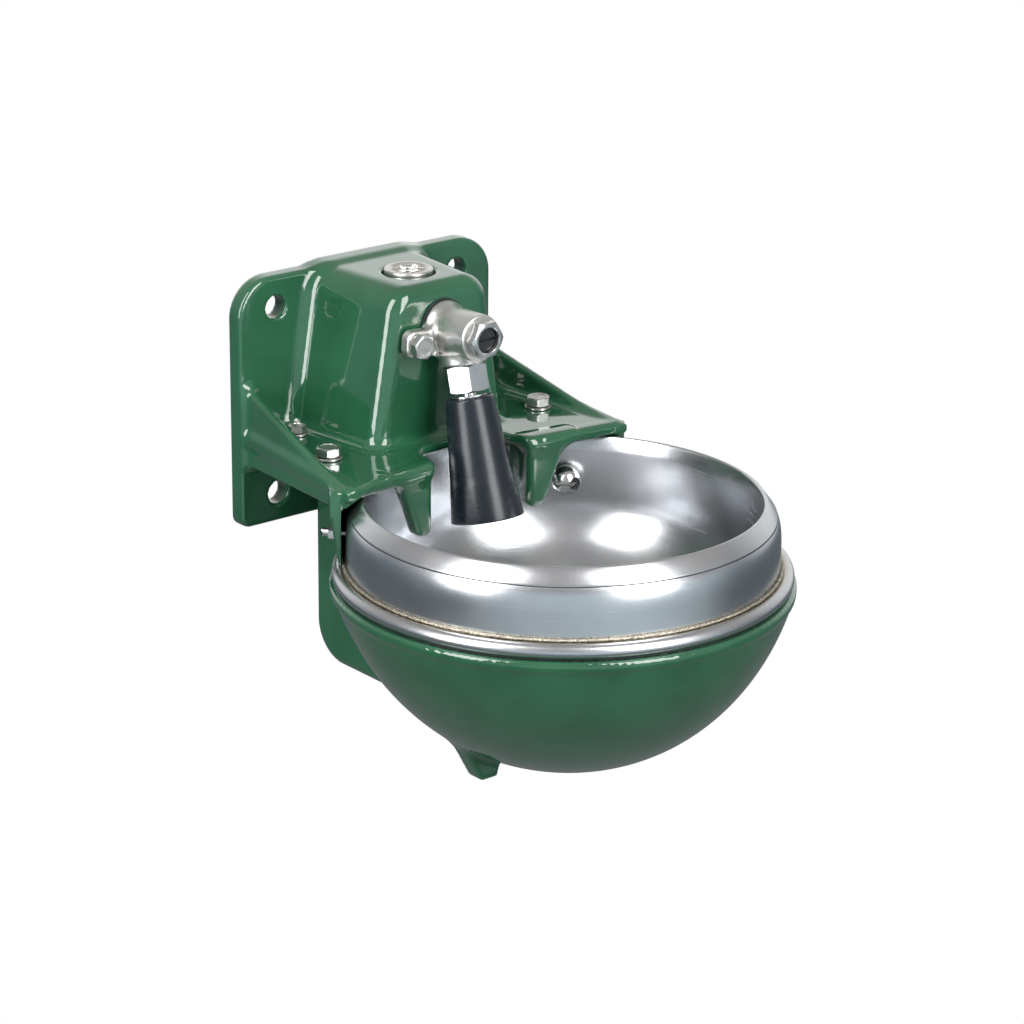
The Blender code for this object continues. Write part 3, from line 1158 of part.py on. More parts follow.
def build_outlet():
    """Union nut, seat, sprung plunger and the swivel ring."""
    nut = hexagon(NUT_FLATS, OUTLET_END + GAP, NUT_END, OUTLET_AXIS, NUT_LIP / 2)
    lip = NUT_END - NUT_LIP
    cut = [disc(OUTLET_THREAD_RADIUS + GAP, OUTLET_END - OVERRUN, lip, OUTLET_AXIS),
           disc(NUT_OPENING, lip - OVERRUN, NUT_END + OVERRUN, OUTLET_AXIS)]
    name_piece(body(nut, cut=cut), "union_nut", "cast_stainless")
    seat_end = OUTLET_THREAD_END - GAP
    seat_top = seat_end - SEAT_LENGTH
    seat = washer(SEAT_BORE, OUTLET_BORE - GAP, seat_top, seat_end, OUTLET_AXIS)
    name_piece(object_from(seat), "valve_seat", "brass")
    seal_low = seat_top - GAP
    seal_top = seal_low - PLUNGER_SEAL
    plate_low = seal_top - GAP
    plate_top = plate_low - PLUNGER_PLATE
    plunger = turned([(0, plate_top), (PLUNGER_RADIUS, plate_top), (PLUNGER_RADIUS, plate_low),
                      (STEM_RADIUS, plate_low), (STEM_RADIUS, STEM_END), (0, STEM_END)], OUTLET_AXIS)
    seal = washer(STEM_RADIUS + GAP, PLUNGER_RADIUS, seal_top, seal_low, OUTLET_AXIS)
    name_piece(object_from(plunger), "valve_plunger", "brass")
    name_piece(object_from(seal), "plunger_seal", "black_rubber")
    build_plunger_spring(plate_top - GAP)
    outer, inner = SWIVEL_OUTER, BALL_RADIUS + SWIVEL_PLAY
    profile = []
    rising_shares = (-1, -0.5, 0, 0.5, 1)
    for radius, shares in ((outer, rising_shares), (inner, tuple(reversed(rising_shares)))):
        for share in shares:
            height = SWIVEL_HALF_HEIGHT * share
            profile.append((math.sqrt(radius ** 2 - height ** 2), PIVOT_DISTANCE + height))
    ring = name_piece(object_from(turned(profile, OUTLET_AXIS)), "swivel_ring", "black_rubber")
    set_origin(ring, PIVOT)


def build_plunger_spring(low):
    """Coil spring that holds the plunger on its seat, from the chamber's roof down to the plate."""
    roof = VALVE_CHAMBER_RADIUS * math.cos(math.pi / SMALL_STEPS)
    high = SPRING_WIRE + GAP - math.sqrt(roof ** 2 - (SPRING_RADIUS + SPRING_WIRE) ** 2)
    low_centre = low - SPRING_WIRE
    count = SPRING_TURNS * COIL_STEPS
    loops = []
    for step in range(count + 1):
        turn = 2 * math.pi * step / COIL_STEPS
        height = high + (low_centre - high) * step / count
        outward = Vector((math.cos(turn), math.sin(turn), 0))
        centre = outward * SPRING_RADIUS + Vector((0, 0, height))
        loop = []
        for side in range(COIL_SIDES):
            angle = 2 * math.pi * side / COIL_SIDES
            offset = outward * math.cos(angle) + Vector((0, 0, math.sin(angle)))
            loop.append(OUTLET_AXIS @ (centre + offset * SPRING_WIRE))
        loops.append(loop)
    name_piece(object_from(skin(loops)), "plunger_spring", "stainless_steel")


def build_drinking_tube():
    """Ball socket and the flared rubber tube that an animal pushes."""
    top_angle = math.asin(BALL_FLAT / BALL_RADIUS)
    profile = [(BALL_BORE, PIVOT_DISTANCE - BALL_FLAT)]
    neck_angle = math.acos(SOCKET_NECK_RADIUS / BALL_RADIUS)
    for step in range(BALL_STEPS + 1):
        angle = -top_angle + (top_angle + neck_angle) * step / BALL_STEPS
        profile.append((BALL_RADIUS * math.cos(angle), PIVOT_DISTANCE + BALL_RADIUS * math.sin(angle)))
    lip_low = SOCKET_LIP_TOP + SOCKET_LIP_THICKNESS
    tail_end = lip_low + SOCKET_TAIL_LENGTH
    profile += [(SOCKET_NECK_RADIUS, SOCKET_LIP_TOP), (SOCKET_LIP_RADIUS, SOCKET_LIP_TOP),
                (SOCKET_LIP_RADIUS, lip_low), (SOCKET_TAIL_RADIUS, lip_low), (SOCKET_TAIL_RADIUS, tail_end), (SOCKET_NECK_RADIUS, tail_end),
                (BALL_BORE, lip_low)]
    socket = name_piece(object_from(turned(profile, OUTLET_AXIS)), "tube_socket", "stainless_steel")
    start = lip_low + GAP
    bore = SOCKET_TAIL_RADIUS + GAP
    tube_profile = [(bore, start), (TUBE_TOP_RADIUS - TUBE_TOP_EDGE, start),
                    (TUBE_TOP_RADIUS, start + TUBE_TOP_EDGE),
                    (TUBE_CREASE_RADIUS, TUBE_CREASE_DISTANCE), (TUBE_END_RADIUS, TUBE_END_DISTANCE),
                    (TUBE_END_RADIUS - TUBE_WALL, TUBE_END_DISTANCE),
                    (TUBE_CREASE_RADIUS - TUBE_WALL, TUBE_CREASE_DISTANCE),
                    (TUBE_THROAT_RADIUS, tail_end + TUBE_WALL), (bore, tail_end + GAP)]
    tube = name_piece(object_from(turned(tube_profile, OUTLET_AXIS, TUBE_STEPS)), "drinking_tube", "black_rubber")
    for made in (socket, tube):
        set_origin(made, PIVOT)


# Fasteners

def bolt(name, matrix, radius, flats, head, reach, finish_name="zinc_steel"):
    """Hexagon bolt whose shank starts at height zero and runs up to reach; its head lies below."""
    made = hexagon(flats, -head, 0, matrix, head * HEAD_CHAMFER_SHARE)
    shank = disc(radius, -head / 2, reach, matrix, BOLT_STEPS)
    return name_piece(body(made, [shank]), name, finish_name)


def nut(name, matrix, radius, flats, low, high):
    """Hexagon nut between two heights."""
    made = body(hexagon(flats, low, high, matrix), cut=[disc(radius + GAP, low - OVERRUN, high + OVERRUN, matrix,
                                                             BOLT_STEPS)])
    return name_piece(made, name, "zinc_steel")


def build_valve_bolts():
    """The two bolts through the valve's ears into the tee, with spring washers."""
    seat = BOX_DEPTH + GAP * 2 + VALVE_GASKET + VALVE_FLANGE_THICKNESS + GAP
    under_head = seat + WASHER_THICKNESS + GAP
    tip = BOX_DEPTH - BOX_WALL - GAP - TEE_FLANGE_THICKNESS
    for side_name, (x, z) in ear_bolts():
        place = Matrix.Translation((x, -under_head, z)) @ FORWARD.inverted()
        bolt(f"valve_bolt_{side_name}", place, LARGE_BOLT_RADIUS, LARGE_FLATS, LARGE_HEAD, under_head - tip)
        ring = washer(LARGE_BOLT_RADIUS + GAP, LARGE_FLATS / 2, GAP, GAP + WASHER_THICKNESS, place, BOLT_STEPS)
        name_piece(object_from(ring), f"valve_washer_{side_name}", "zinc_steel")


def build_ledge_bolts():
    """Four bolts down through the ledge and the lower casting's flange."""
    for name, x, y, (radius, flats, head, nut_height, washer_radius) in ledge_bolts():
        seat = LEDGE_TOP + GAP + WASHER_THICKNESS + GAP
        place = Matrix.Translation((x, y, seat)) @ Matrix.Rotation(math.pi, 4, "X")
        nut_top = seat - FLANGE_BOTTOM + GAP
        bolt(name, place, radius, flats, head, nut_top + nut_height + NUT_STICK_OUT)
        ring = washer(radius + GAP, washer_radius, GAP, GAP + WASHER_THICKNESS, place)
        name_piece(object_from(ring), name.replace("bolt", "washer"), "zinc_steel")
        nut(name.replace("bolt", "nut"), place, radius, flats, nut_top, nut_top + nut_height)


def build_skirt_screws():
    """Screws that hold the steel bowl to the skirt: low head on the left, ball head on the right."""
    thinning = (SKIRT_TOP_THICKNESS - SKIRT_FOOT_THICKNESS) / (GUSSET_FRONT_BOTTOM - SKIRT_FOOT)
    start = math.asin(BALL_HEAD_SEAT / BALL_HEAD_RADIUS)
    for side_name, side in SIDES.items():
        axis = skirt_screw_axis(side)
        height = skirt_screw_z(side)
        skirt_wall = SKIRT_FOOT_THICKNESS + thinning * (height + BALL_WASHER_RADIUS - SKIRT_FOOT)
        outside = SKIRT_INNER + skirt_wall + GAP
        nut_start = outside + BALL_WASHER_THICKNESS + GAP
        nut_end = nut_start + BALL_NUT_HEIGHT
        head_reach = BALL_HEAD_SEAT if side > 0 else LOW_HEAD_RADIUS
        wall = oval_radius(INSERT_RADIUS, INSERT_DEPTH, INSERT_SPRING_Z, height - head_reach)
        wall *= math.cos(math.pi / RING_STEPS)
        seat = math.sqrt(wall ** 2 - head_reach ** 2) - GAP
        tail = [(BALL_SCREW_RADIUS, seat), (BALL_SCREW_RADIUS, nut_end + BALL_SCREW_STICK_OUT),
                (0, nut_end + BALL_SCREW_STICK_OUT)]
        if side > 0:
            centre = seat - BALL_HEAD_SEAT
            pole = centre - BALL_HEAD_RADIUS
            head = [(0, pole)]
            for step in range(1, BALL_STEPS + 1):
                angle = -math.pi / 2 + (start + math.pi / 2) * step / BALL_STEPS
                head.append((BALL_HEAD_RADIUS * math.cos(angle), centre + BALL_HEAD_RADIUS * math.sin(angle)))
        else:
            pole = seat - LOW_HEAD_HEIGHT
            head = [(0, pole), (LOW_HEAD_RADIUS * LOW_HEAD_TOP_SHARE, pole),
                    (LOW_HEAD_RADIUS, seat - LOW_HEAD_HEIGHT / 2), (LOW_HEAD_RADIUS, seat)]
        half, reach = BALL_SLOT_WIDTH / 2, BALL_HEAD_RADIUS + OVERRUN
        depth = BALL_SLOT_DEPTH if side > 0 else LOW_HEAD_HEIGHT / 2
        slot = prism("XY", [(-half, -reach), (half, -reach), (half, reach), (-half, reach)], pole - OVERRUN,
                     pole + depth)
        slot.transform(axis)
        bmesh.ops.recalc_face_normals(slot, faces=slot.faces)
        screw = body(turned(head + tail, axis), cut=[slot])
        name_piece(screw, f"skirt_screw_{side_name}", "stainless_steel")
        ring = washer(BALL_SCREW_RADIUS + GAP, BALL_WASHER_RADIUS, outside, outside + BALL_WASHER_THICKNESS, axis,
                      BOLT_STEPS)
        name_piece(object_from(ring), f"skirt_washer_{side_name}", "zinc_steel")
        nut(f"skirt_nut_{side_name}", axis, BALL_SCREW_RADIUS, BALL_NUT_FLATS, nut_start, nut_end)


def build():
    """Clear the scene and make every piece."""
    for old in list(bpy.data.objects):
        bpy.data.objects.remove(old)
    build_upper_casting()
    build_lower_casting()
    build_bowl_insert()
    build_collar()
    build_liner()
    build_heater()
    build_heater_lead()
    build_supply()
    build_valve_body()
    build_valve_trim()
    build_regulator()
    build_outlet()
    build_drinking_tube()
    build_valve_bolts()
    build_ledge_bolts()
    build_skirt_screws()


build()
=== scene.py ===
import math

import bmesh
import bpy
import numpy as np
from mathutils import Matrix, Vector


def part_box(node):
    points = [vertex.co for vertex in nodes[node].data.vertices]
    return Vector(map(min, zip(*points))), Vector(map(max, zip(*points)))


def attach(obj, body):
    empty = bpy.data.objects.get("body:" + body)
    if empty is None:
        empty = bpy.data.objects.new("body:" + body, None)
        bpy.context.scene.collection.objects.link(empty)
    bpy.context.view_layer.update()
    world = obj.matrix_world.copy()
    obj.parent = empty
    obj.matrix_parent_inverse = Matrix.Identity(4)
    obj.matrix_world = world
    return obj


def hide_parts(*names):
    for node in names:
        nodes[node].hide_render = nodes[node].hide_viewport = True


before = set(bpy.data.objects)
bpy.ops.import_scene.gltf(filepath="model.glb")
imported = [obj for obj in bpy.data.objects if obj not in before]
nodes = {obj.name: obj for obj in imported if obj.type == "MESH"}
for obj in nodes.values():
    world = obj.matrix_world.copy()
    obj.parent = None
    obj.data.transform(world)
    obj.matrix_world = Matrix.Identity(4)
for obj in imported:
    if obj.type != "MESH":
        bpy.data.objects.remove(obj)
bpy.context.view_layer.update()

# Upper casting: the wall plate, the hollow valve box, the ledge with its gussets and two
# guard fingers, and the skirt behind the steel bowl, poured as one iron casting. Every
# inner corner has a cast fillet. It is dipped in a thick dark green enamel.
ENAMEL_GREEN = (0.0185, 0.098, 0.0460)
ENAMEL_DEEP = (0.0140, 0.078, 0.0365)
PLATE_HALF = 0.0925
PLATE_TOP = 0.0752
PLATE_BOTTOM = -0.074
PLATE_THICK = 0.0115
PLATE_TOP_CORNER = 0.0235
PLATE_LOW_CORNER = 0.006
PLATE_EDGE = 0.0022
HOLE_X = 0.0665
HOLE_Z = 0.0565
HOLE_RADIUS = 0.007
HOLE_END = 0.03
HOLE_EDGE = 0.0008
BOX_DEPTH = 0.082
BOX_TOP = 0.0757
BOX_HALF_TOP = 0.0334
BOX_SLOPE = 0.1635
BOX_DRAFT = 0.0065
BOX_SHOULDER = 0.014
BOX_EDGE = 0.009
BOX_FILLET = 0.008
BOX_WALL = 0.006
BOX_MOUTH_DROP = 0.010
LEDGE_TOP = -0.016
LEDGE_THICK = 0.006
LEDGE_ROOT_X = 0.088
LEDGE_CORNER_X = 0.1025
LEDGE_CORNER_REACH = 0.1282
LEDGE_CORNER = 0.008
LEDGE_EDGE = 0.0026
LEDGE_FILLET = 0.006
MOUTH_X = 0.036
MOUTH_REACH = 0.1195
THROAT_X = 0.030
THROAT_REACH = 0.106
NOTCH_BACK = 0.0935
NOTCH_ROUND = 0.011
NOTCH_EDGE = 0.003
GUSSET_THICK = 0.0055
GUSSET_TOP = 0.0105
GUSSET_KNEE = 0.1075
GUSSET_LOW_BACK = -0.0366
GUSSET_LOW_FRONT = -0.0305
GUSSET_END = 0.121
GUSSET_ROUND = 0.002
GUSSET_EDGE = 0.0022
CORNER_BACK = 0.111
CORNER_WIDTH = 0.010
APRON_THICK = 0.005
APRON_LOW = -0.0232
APRON_EDGE = 0.0015
APRON_FILLET = 0.003
FINGER_THICK = 0.0095
FINGER_TIP = -0.059
FINGER_TIP_WIDTH = 0.0105
FINGER_ROOT_WIDTH = 0.0245
FINGER_SIDE_ROUND = 0.003
FINGER_TIP_ROUND = 0.004
FINGER_EDGE = 0.0028
FINGER_FILLET = 0.0075
CHEEK_THICK = 0.005
CHEEK_TIP = 0.1025
CHEEK_ROOT = 0.0960
CHEEK_FRONT = 0.116
CHEEK_EDGE = 0.002
BOWL_REACH = 0.192
SKIRT_INNER = 0.1243
SKIRT_ANGLE = math.radians(56.0)
SKIRT_LOW = -0.0622
SKIRT_FOOT = 0.0018
SKIRT_HEAD = 0.0067
RIM_ROOM_INNER = 0.1069
RIM_ROOM_CREST = (0.1143, -0.0226)
RIM_ROOM_SKIRT = -0.0301
VALVE_Z = 0.051
VALVE_HOLE = 0.0132
VALVE_HOLE_BACK = 0.06
VALVE_HOLE_EDGE = 0.0005
TEE_REACH = 0.0505
TEE_HOLE = 0.01575
TEE_HOLE_LOW = 0.05
TEE_HOLE_EDGE = 0.0012
# Small lengths that all castings share: how far a part runs into the next one, two small
# roundings, the hair left between touching pieces, and what counts as nothing.
SUNK = 0.003
SLIGHT = 0.002
FINE = 0.001
GAP = 0.0003
TINY = 1e-6
CAST_STEP = 0.0015
# Of two distances, the one to the sharp intersection and the one to the sharp union.
both, either = np.maximum, np.minimum


def length(*parts):
    """Distance from its parts along square axes."""
    return np.sqrt(sum(part ** 2 for part in parts))


def joined(first, second, fillet):
    """Union of two distances whose inner corner is filled by an arc."""
    dip = length(np.maximum(fillet - first, 0), np.maximum(fillet - second, 0))
    return np.maximum(fillet, np.minimum(first, second)) - dip


def common(first, second, rounding):
    """Intersection of two distances whose outer edge is an arc."""
    rise = length(np.maximum(rounding + first, 0), np.maximum(rounding + second, 0))
    return np.minimum(-rounding, np.maximum(first, second)) + rise


def within(value, low, high):
    """Distance to the slab between two heights."""
    return np.maximum(low - value, value - high)


def line(u, v, start, end):
    """Distance to the left of the line from start to end; inside lies on its right."""
    du, dv = end[0] - start[0], end[1] - start[1]
    return ((v - start[1]) * du - (u - start[0]) * dv) / math.hypot(du, dv)


def rounded_plate(u, v, half_u, half_v, corner):
    """Distance to a rectangle with round corners."""
    across, up = np.abs(u) - half_u + corner, np.abs(v) - half_v + corner
    outside = length(np.maximum(across, 0), np.maximum(up, 0))
    return outside + np.minimum(np.maximum(across, up), 0) - corner


def plate_distance(x, z):
    """Outline of the wall plate, with one corner radius above and another below."""
    middle, half = (PLATE_TOP + PLATE_BOTTOM) / 2, (PLATE_TOP - PLATE_BOTTOM) / 2
    corner = np.where(z > middle, PLATE_TOP_CORNER, PLATE_LOW_CORNER)
    return rounded_plate(x, z - middle, PLATE_HALF, half, corner)


def box_distance(x, reach, z, inset):
    """Box with leaning sides: planes joined by round edges, drawn in by an inset."""
    draft = BOX_DRAFT * (1 - (reach - PLATE_THICK) / (BOX_DEPTH - PLATE_THICK))
    half = BOX_HALF_TOP + draft - inset + BOX_SLOPE * (BOX_TOP - z)
    side = (np.abs(x) - half) / math.hypot(1, BOX_SLOPE)
    section = common(side, z - BOX_TOP + inset, BOX_SHOULDER - inset)
    return common(section, reach - BOX_DEPTH + inset, BOX_EDGE - inset / 2)


def upper_distance(x, y, z):
    """Upper casting: rounded solids joined with cast fillets, then its hollow and holes cut out."""
    side, reach = np.abs(x), -y
    plate = common(plate_distance(x, z), within(reach, 0, PLATE_THICK), PLATE_EDGE)
    box = both(box_distance(x, reach, z, 0), both(LEDGE_TOP - SUNK - z, SUNK - reach))
    solid = joined(plate, box, BOX_FILLET)

    front_turn = math.atan2(LEDGE_CORNER_REACH - MOUTH_REACH, LEDGE_CORNER_X - MOUTH_X)
    along = (side - MOUTH_X) * math.cos(front_turn) + (reach - MOUTH_REACH) * math.sin(front_turn)
    front = (reach - MOUTH_REACH) * math.cos(front_turn) - (side - MOUTH_X) * math.sin(front_turn)
    flank = -line(side, reach, (LEDGE_ROOT_X, PLATE_THICK), (LEDGE_CORNER_X, LEDGE_CORNER_REACH))
    outline = common(flank, front, LEDGE_CORNER)
    throat = -line(side, reach, (THROAT_X, THROAT_REACH), (MOUTH_X, MOUTH_REACH))
    notch = either(both(throat, side - MOUTH_X * 2), side - THROAT_X)
    notch = common(notch, NOTCH_BACK - reach, NOTCH_ROUND)
    ledge = common(outline, -notch, NOTCH_EDGE)
    ledge = common(ledge, within(z, LEDGE_TOP - LEDGE_THICK, LEDGE_TOP), LEDGE_EDGE)
    solid = joined(solid, both(ledge, SUNK - reach), LEDGE_FILLET)

    web = within(flank, -GUSSET_THICK, 0)
    top = line(reach, z, (PLATE_THICK, GUSSET_TOP), (GUSSET_KNEE, LEDGE_TOP))
    low = -line(reach, z, (PLATE_THICK, GUSSET_LOW_BACK), (LEDGE_CORNER_REACH, GUSSET_LOW_FRONT))
    sheet = common(either(top, z - LEDGE_TOP + FINE), low, GUSSET_ROUND)
    sheet = both(sheet, within(reach, SUNK, GUSSET_END))
    solid = joined(solid, common(both(sheet, top), web, GUSSET_EDGE), LEDGE_FILLET)
    corner = common(outline, -outline - GUSSET_THICK, FINE)
    corner = both(corner, within(z, GUSSET_LOW_FRONT, LEDGE_TOP - SLIGHT))
    corner = both(corner, both(CORNER_BACK - reach, -flank - CORNER_WIDTH))
    solid = joined(solid, corner, SLIGHT)

    rail = common(within(front, -APRON_THICK, 0), APRON_LOW - z, APRON_EDGE)
    rail = both(rail, both(z - LEDGE_TOP + SLIGHT, both(flank, FINGER_TIP_WIDTH - along)))
    solid = joined(solid, rail, APRON_FILLET)
    slant = -line(along, z, (FINGER_TIP_WIDTH, FINGER_TIP), (FINGER_ROOT_WIDTH, APRON_LOW))
    claw = common(common(slant, -along, FINGER_SIDE_ROUND), FINGER_TIP - z, FINGER_TIP_ROUND)
    claw = both(claw, z - LEDGE_TOP + SUNK)
    solid = joined(solid, common(claw, within(front, -FINGER_THICK, 0), FINGER_EDGE), FINGER_FILLET)
    back = line(reach, z, (CHEEK_TIP, FINGER_TIP + SUNK), (CHEEK_ROOT, LEDGE_TOP))
    back = both(common(back, FINGER_TIP + SUNK - z, FINGER_SIDE_ROUND), z - LEDGE_TOP + SUNK)
    cheek = both(within(side, MOUTH_X + GAP, MOUTH_X + CHEEK_THICK), reach - CHEEK_FRONT)
    solid = joined(solid, common(cheek, back, CHEEK_EDGE), APRON_FILLET)

    from_axis = length(x, y + BOWL_REACH)
    share = np.clip((z - SKIRT_LOW) / (GUSSET_LOW_FRONT - SKIRT_LOW), 0, 1)
    wall = SKIRT_FOOT + (SKIRT_HEAD - SKIRT_FOOT) * share
    skirt = within(from_axis, SKIRT_INNER, SKIRT_INNER + wall)
    skirt = both(skirt, within(z, SKIRT_LOW, LEDGE_TOP - SUNK))
    end = side * math.cos(SKIRT_ANGLE) - (y + BOWL_REACH) * math.sin(SKIRT_ANGLE)
    solid = joined(solid, both(skirt, end), SLIGHT)
    room_top = np.interp(from_axis, [RIM_ROOM_CREST[0], SKIRT_INNER], [RIM_ROOM_CREST[1], RIM_ROOM_SKIRT])
    room = both(both(z - room_top, from_axis - SKIRT_INNER), RIM_ROOM_INNER - from_axis)
    solid = common(solid, -room, HOLE_EDGE)

    hollow = both(box_distance(x, reach, z, BOX_WALL), LEDGE_TOP - BOX_MOUTH_DROP - z)
    solid = common(solid, -hollow, FINE)
    hole = length(side - HOLE_X, np.abs(z) - HOLE_Z) - HOLE_RADIUS
    solid = common(solid, -both(hole, reach - HOLE_END), HOLE_EDGE)
    port = both(length(x, z - VALVE_Z) - VALVE_HOLE, VALVE_HOLE_BACK - reach)
    inlet = both(length(x, reach - TEE_REACH) - TEE_HOLE, TEE_HOLE_LOW - z)
    return common(common(solid, -port, VALVE_HOLE_EDGE), -inlet, TEE_HOLE_EDGE)


NUDGE_SHARE = 0.02
LEAST_SLOPE = 0.2
SETTLE_SHARE = 0.9
SETTLE_PASSES = 3


def cell_corners(grid):
    """The eight corner values of every cell, each as one array."""
    ends = (slice(None, -1), slice(1, None))
    return {(i, j, k): grid[ends[i], ends[j], ends[k]] for i in (0, 1) for j in (0, 1) for k in (0, 1)}


def solid_surface(distance, low, high, step):
    """Points and quads of the surface where a distance is zero.

    A grid of distances is taken. Each cell that the surface crosses gets one point, at the
    mean of the crossings of its edges, which then slides onto the surface along the slope
    of the distance. Each crossed grid edge gets the quad of the four cells round it.
    """
    axes = [np.arange(a - step, b + 2 * step, step) for a, b in zip(low, high)]
    grid = np.stack([distance(x, *np.meshgrid(axes[1], axes[2], indexing="ij")) for x in axes[0]])
    corners = cell_corners(grid)
    count = sum((value < 0).astype(np.int8) for value in corners.values())
    crossed = (count > 0) & (count < 8)
    cells = np.argwhere(crossed)
    number = np.full(crossed.shape, -1)
    number[crossed] = np.arange(len(cells))
    total, hits = np.zeros((len(cells), 3)), np.zeros(len(cells))
    for axis in range(3):
        for first in corners:
            if first[axis]:
                continue
            second = tuple(1 if index == axis else part for index, part in enumerate(first))
            a, b = corners[first][crossed], corners[second][crossed]
            hit = (a < 0) != (b < 0)
            point = np.tile(np.array(first, float), (len(cells), 1))
            point[:, axis] = a / np.where(hit, a - b, 1)
            total += point * hit[:, None]
            hits += hit
    points = np.array([axis[0] for axis in axes]) + (cells + total / hits[:, None]) * step
    nudge = step * NUDGE_SHARE
    for _ in range(SETTLE_PASSES):
        here = distance(*points.T)
        ahead = [distance(*(points + nudge * direction).T) - here for direction in np.eye(3)]
        slope = np.stack(ahead, axis=1) / nudge
        move = slope * (here / np.maximum((slope ** 2).sum(axis=1), LEAST_SLOPE))[:, None]
        points -= np.clip(move, -step / 2, step / 2) * SETTLE_SHARE
    quads = []
    for axis in range(3):
        other, last = (axis + 1) % 3, (axis + 2) % 3
        inner = [slice(1, -1)] * 3
        inner[axis] = slice(None, -1)
        ahead = list(inner)
        ahead[axis] = slice(1, None)
        starts, ends = grid[tuple(inner)] < 0, grid[tuple(ahead)] < 0
        for leaving in (True, False):
            place = np.argwhere((starts & ~ends) if leaving else (~starts & ends))
            place += [0 if index == axis else 1 for index in range(3)]
            ring = []
            for back_other, back_last in ((1, 1), (0, 1), (0, 0), (1, 0)):
                cell = place.copy()
                cell[:, other] -= back_other
                cell[:, last] -= back_last
                ring.append(number[tuple(cell.T)])
            quads.append(np.stack(ring if leaving else ring[::-1], axis=1))
    return points, np.concatenate(quads)


def placed(name, data):
    """Object in the scene that shows a mesh, a camera or a lamp."""
    made = bpy.data.objects.new(name, data)
    bpy.context.scene.collection.objects.link(made)
    return made


def smoothed(mesh, sharp):
    """Smooth shading that breaks at edges sharper than an angle in degrees."""
    mesh.shade_smooth()
    if sharp:
        mesh.set_sharp_from_angle(angle=math.radians(sharp))


def new_piece(name, surface, stands_for, sharp=None, body="housing"):
    """Make a mesh object, hang it on the body it rides on, and hide the CAD node it stands for."""
    points, faces = surface
    mesh = bpy.data.meshes.new(name)
    mesh.from_pydata(points.tolist(), [], faces.tolist())
    mesh.validate()
    smoothed(mesh, sharp)
    piece = placed(name, mesh)
    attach(piece, body)
    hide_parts(stands_for)
    return piece


class Value:
    """A number that runs through a material's nodes; sums on it add Math nodes."""

    def __init__(self, tree, socket):
        self.tree = tree
        self.socket = socket

    def sum(self, operation, first, second):
        """Math node on two values or numbers."""
        node = self.tree.nodes.new("ShaderNodeMath")
        node.operation = operation
        for socket, value in zip(node.inputs, (first, second)):
            if isinstance(value, Value):
                self.tree.links.new(value.socket, socket)
            else:
                socket.default_value = value
        return Value(self.tree, node.outputs[0])

    def __add__(self, other):
        return self.sum("ADD", self, other)

    def __sub__(self, other):
        return self.sum("SUBTRACT", self, other)

    def __mul__(self, other):
        return self.sum("MULTIPLY", self, other)

    def __truediv__(self, other):
        return self.sum("DIVIDE", self, other)

    def __pow__(self, other):
        return self.sum("POWER", self, other)


class Graph:
    """Nodes of one material or of the world, around its main shader."""

    def __init__(self, tree, shader, place):
        self.tree = tree
        self.shader = tree.nodes[shader]
        self.place = self.node("ShaderNodeTexCoord").outputs[place]

    def node(self, kind, settings=None, inputs=None):
        """Add a node of a type; its settings are made before its sockets get values or links."""
        made = self.tree.nodes.new(kind)
        for key, value in (settings or {}).items():
            if key == "stops":
                ramp = made.color_ramp.elements
                while len(ramp) < len(value):
                    ramp.new(0.5)
                for element, (position, colour) in zip(ramp, value):
                    element.position = position
                    element.color = (*colour, 1.0)
            else:
                setattr(made, key, value)
        for key, value in (inputs or {}).items():
            self.feed(made.inputs[key], value)
        return made

    def feed(self, socket, value):
        """Give a socket a value, or link it."""
        if isinstance(value, Value):
            value = value.socket
        if isinstance(value, bpy.types.NodeSocket):
            self.tree.links.new(value, socket)
        else:
            socket.default_value = value

    def set(self, key, value):
        """Give one of the main shader's sockets a value, or link it."""
        self.feed(self.shader.inputs[key], value)

    def value(self, socket):
        """Wrap a socket so that sums can be written on it."""
        return Value(self.tree, socket)

    def rise(self, value, start, end):
        """Smooth step from none to one as a value goes from start to end."""
        made = self.node("ShaderNodeMapRange", {"interpolation_type": "SMOOTHSTEP"},
                         {"Value": value, "From Min": start, "From Max": end})
        return self.value(made.outputs["Result"])

    def noise(self, scale, detail=3.0, vector=None, roughness=0.5):
        """Cloudy pattern with values around a half."""
        made = self.node("ShaderNodeTexNoise", {}, {"Scale": scale, "Detail": detail, "Roughness": roughness,
                                                    "Vector": vector or self.place})
        return self.value(made.outputs["Fac"])

    def ramp(self, factor, stops):
        """Colour that runs through stops of (position, colour)."""
        return self.node("ShaderNodeValToRGB", {"stops": stops}, {"Fac": factor}).outputs["Color"]

    def axes(self):
        """The three numbers of the place."""
        parts = self.node("ShaderNodeSeparateXYZ", {}, {"Vector": self.place})
        return [self.value(parts.outputs[key]) for key in "XYZ"]


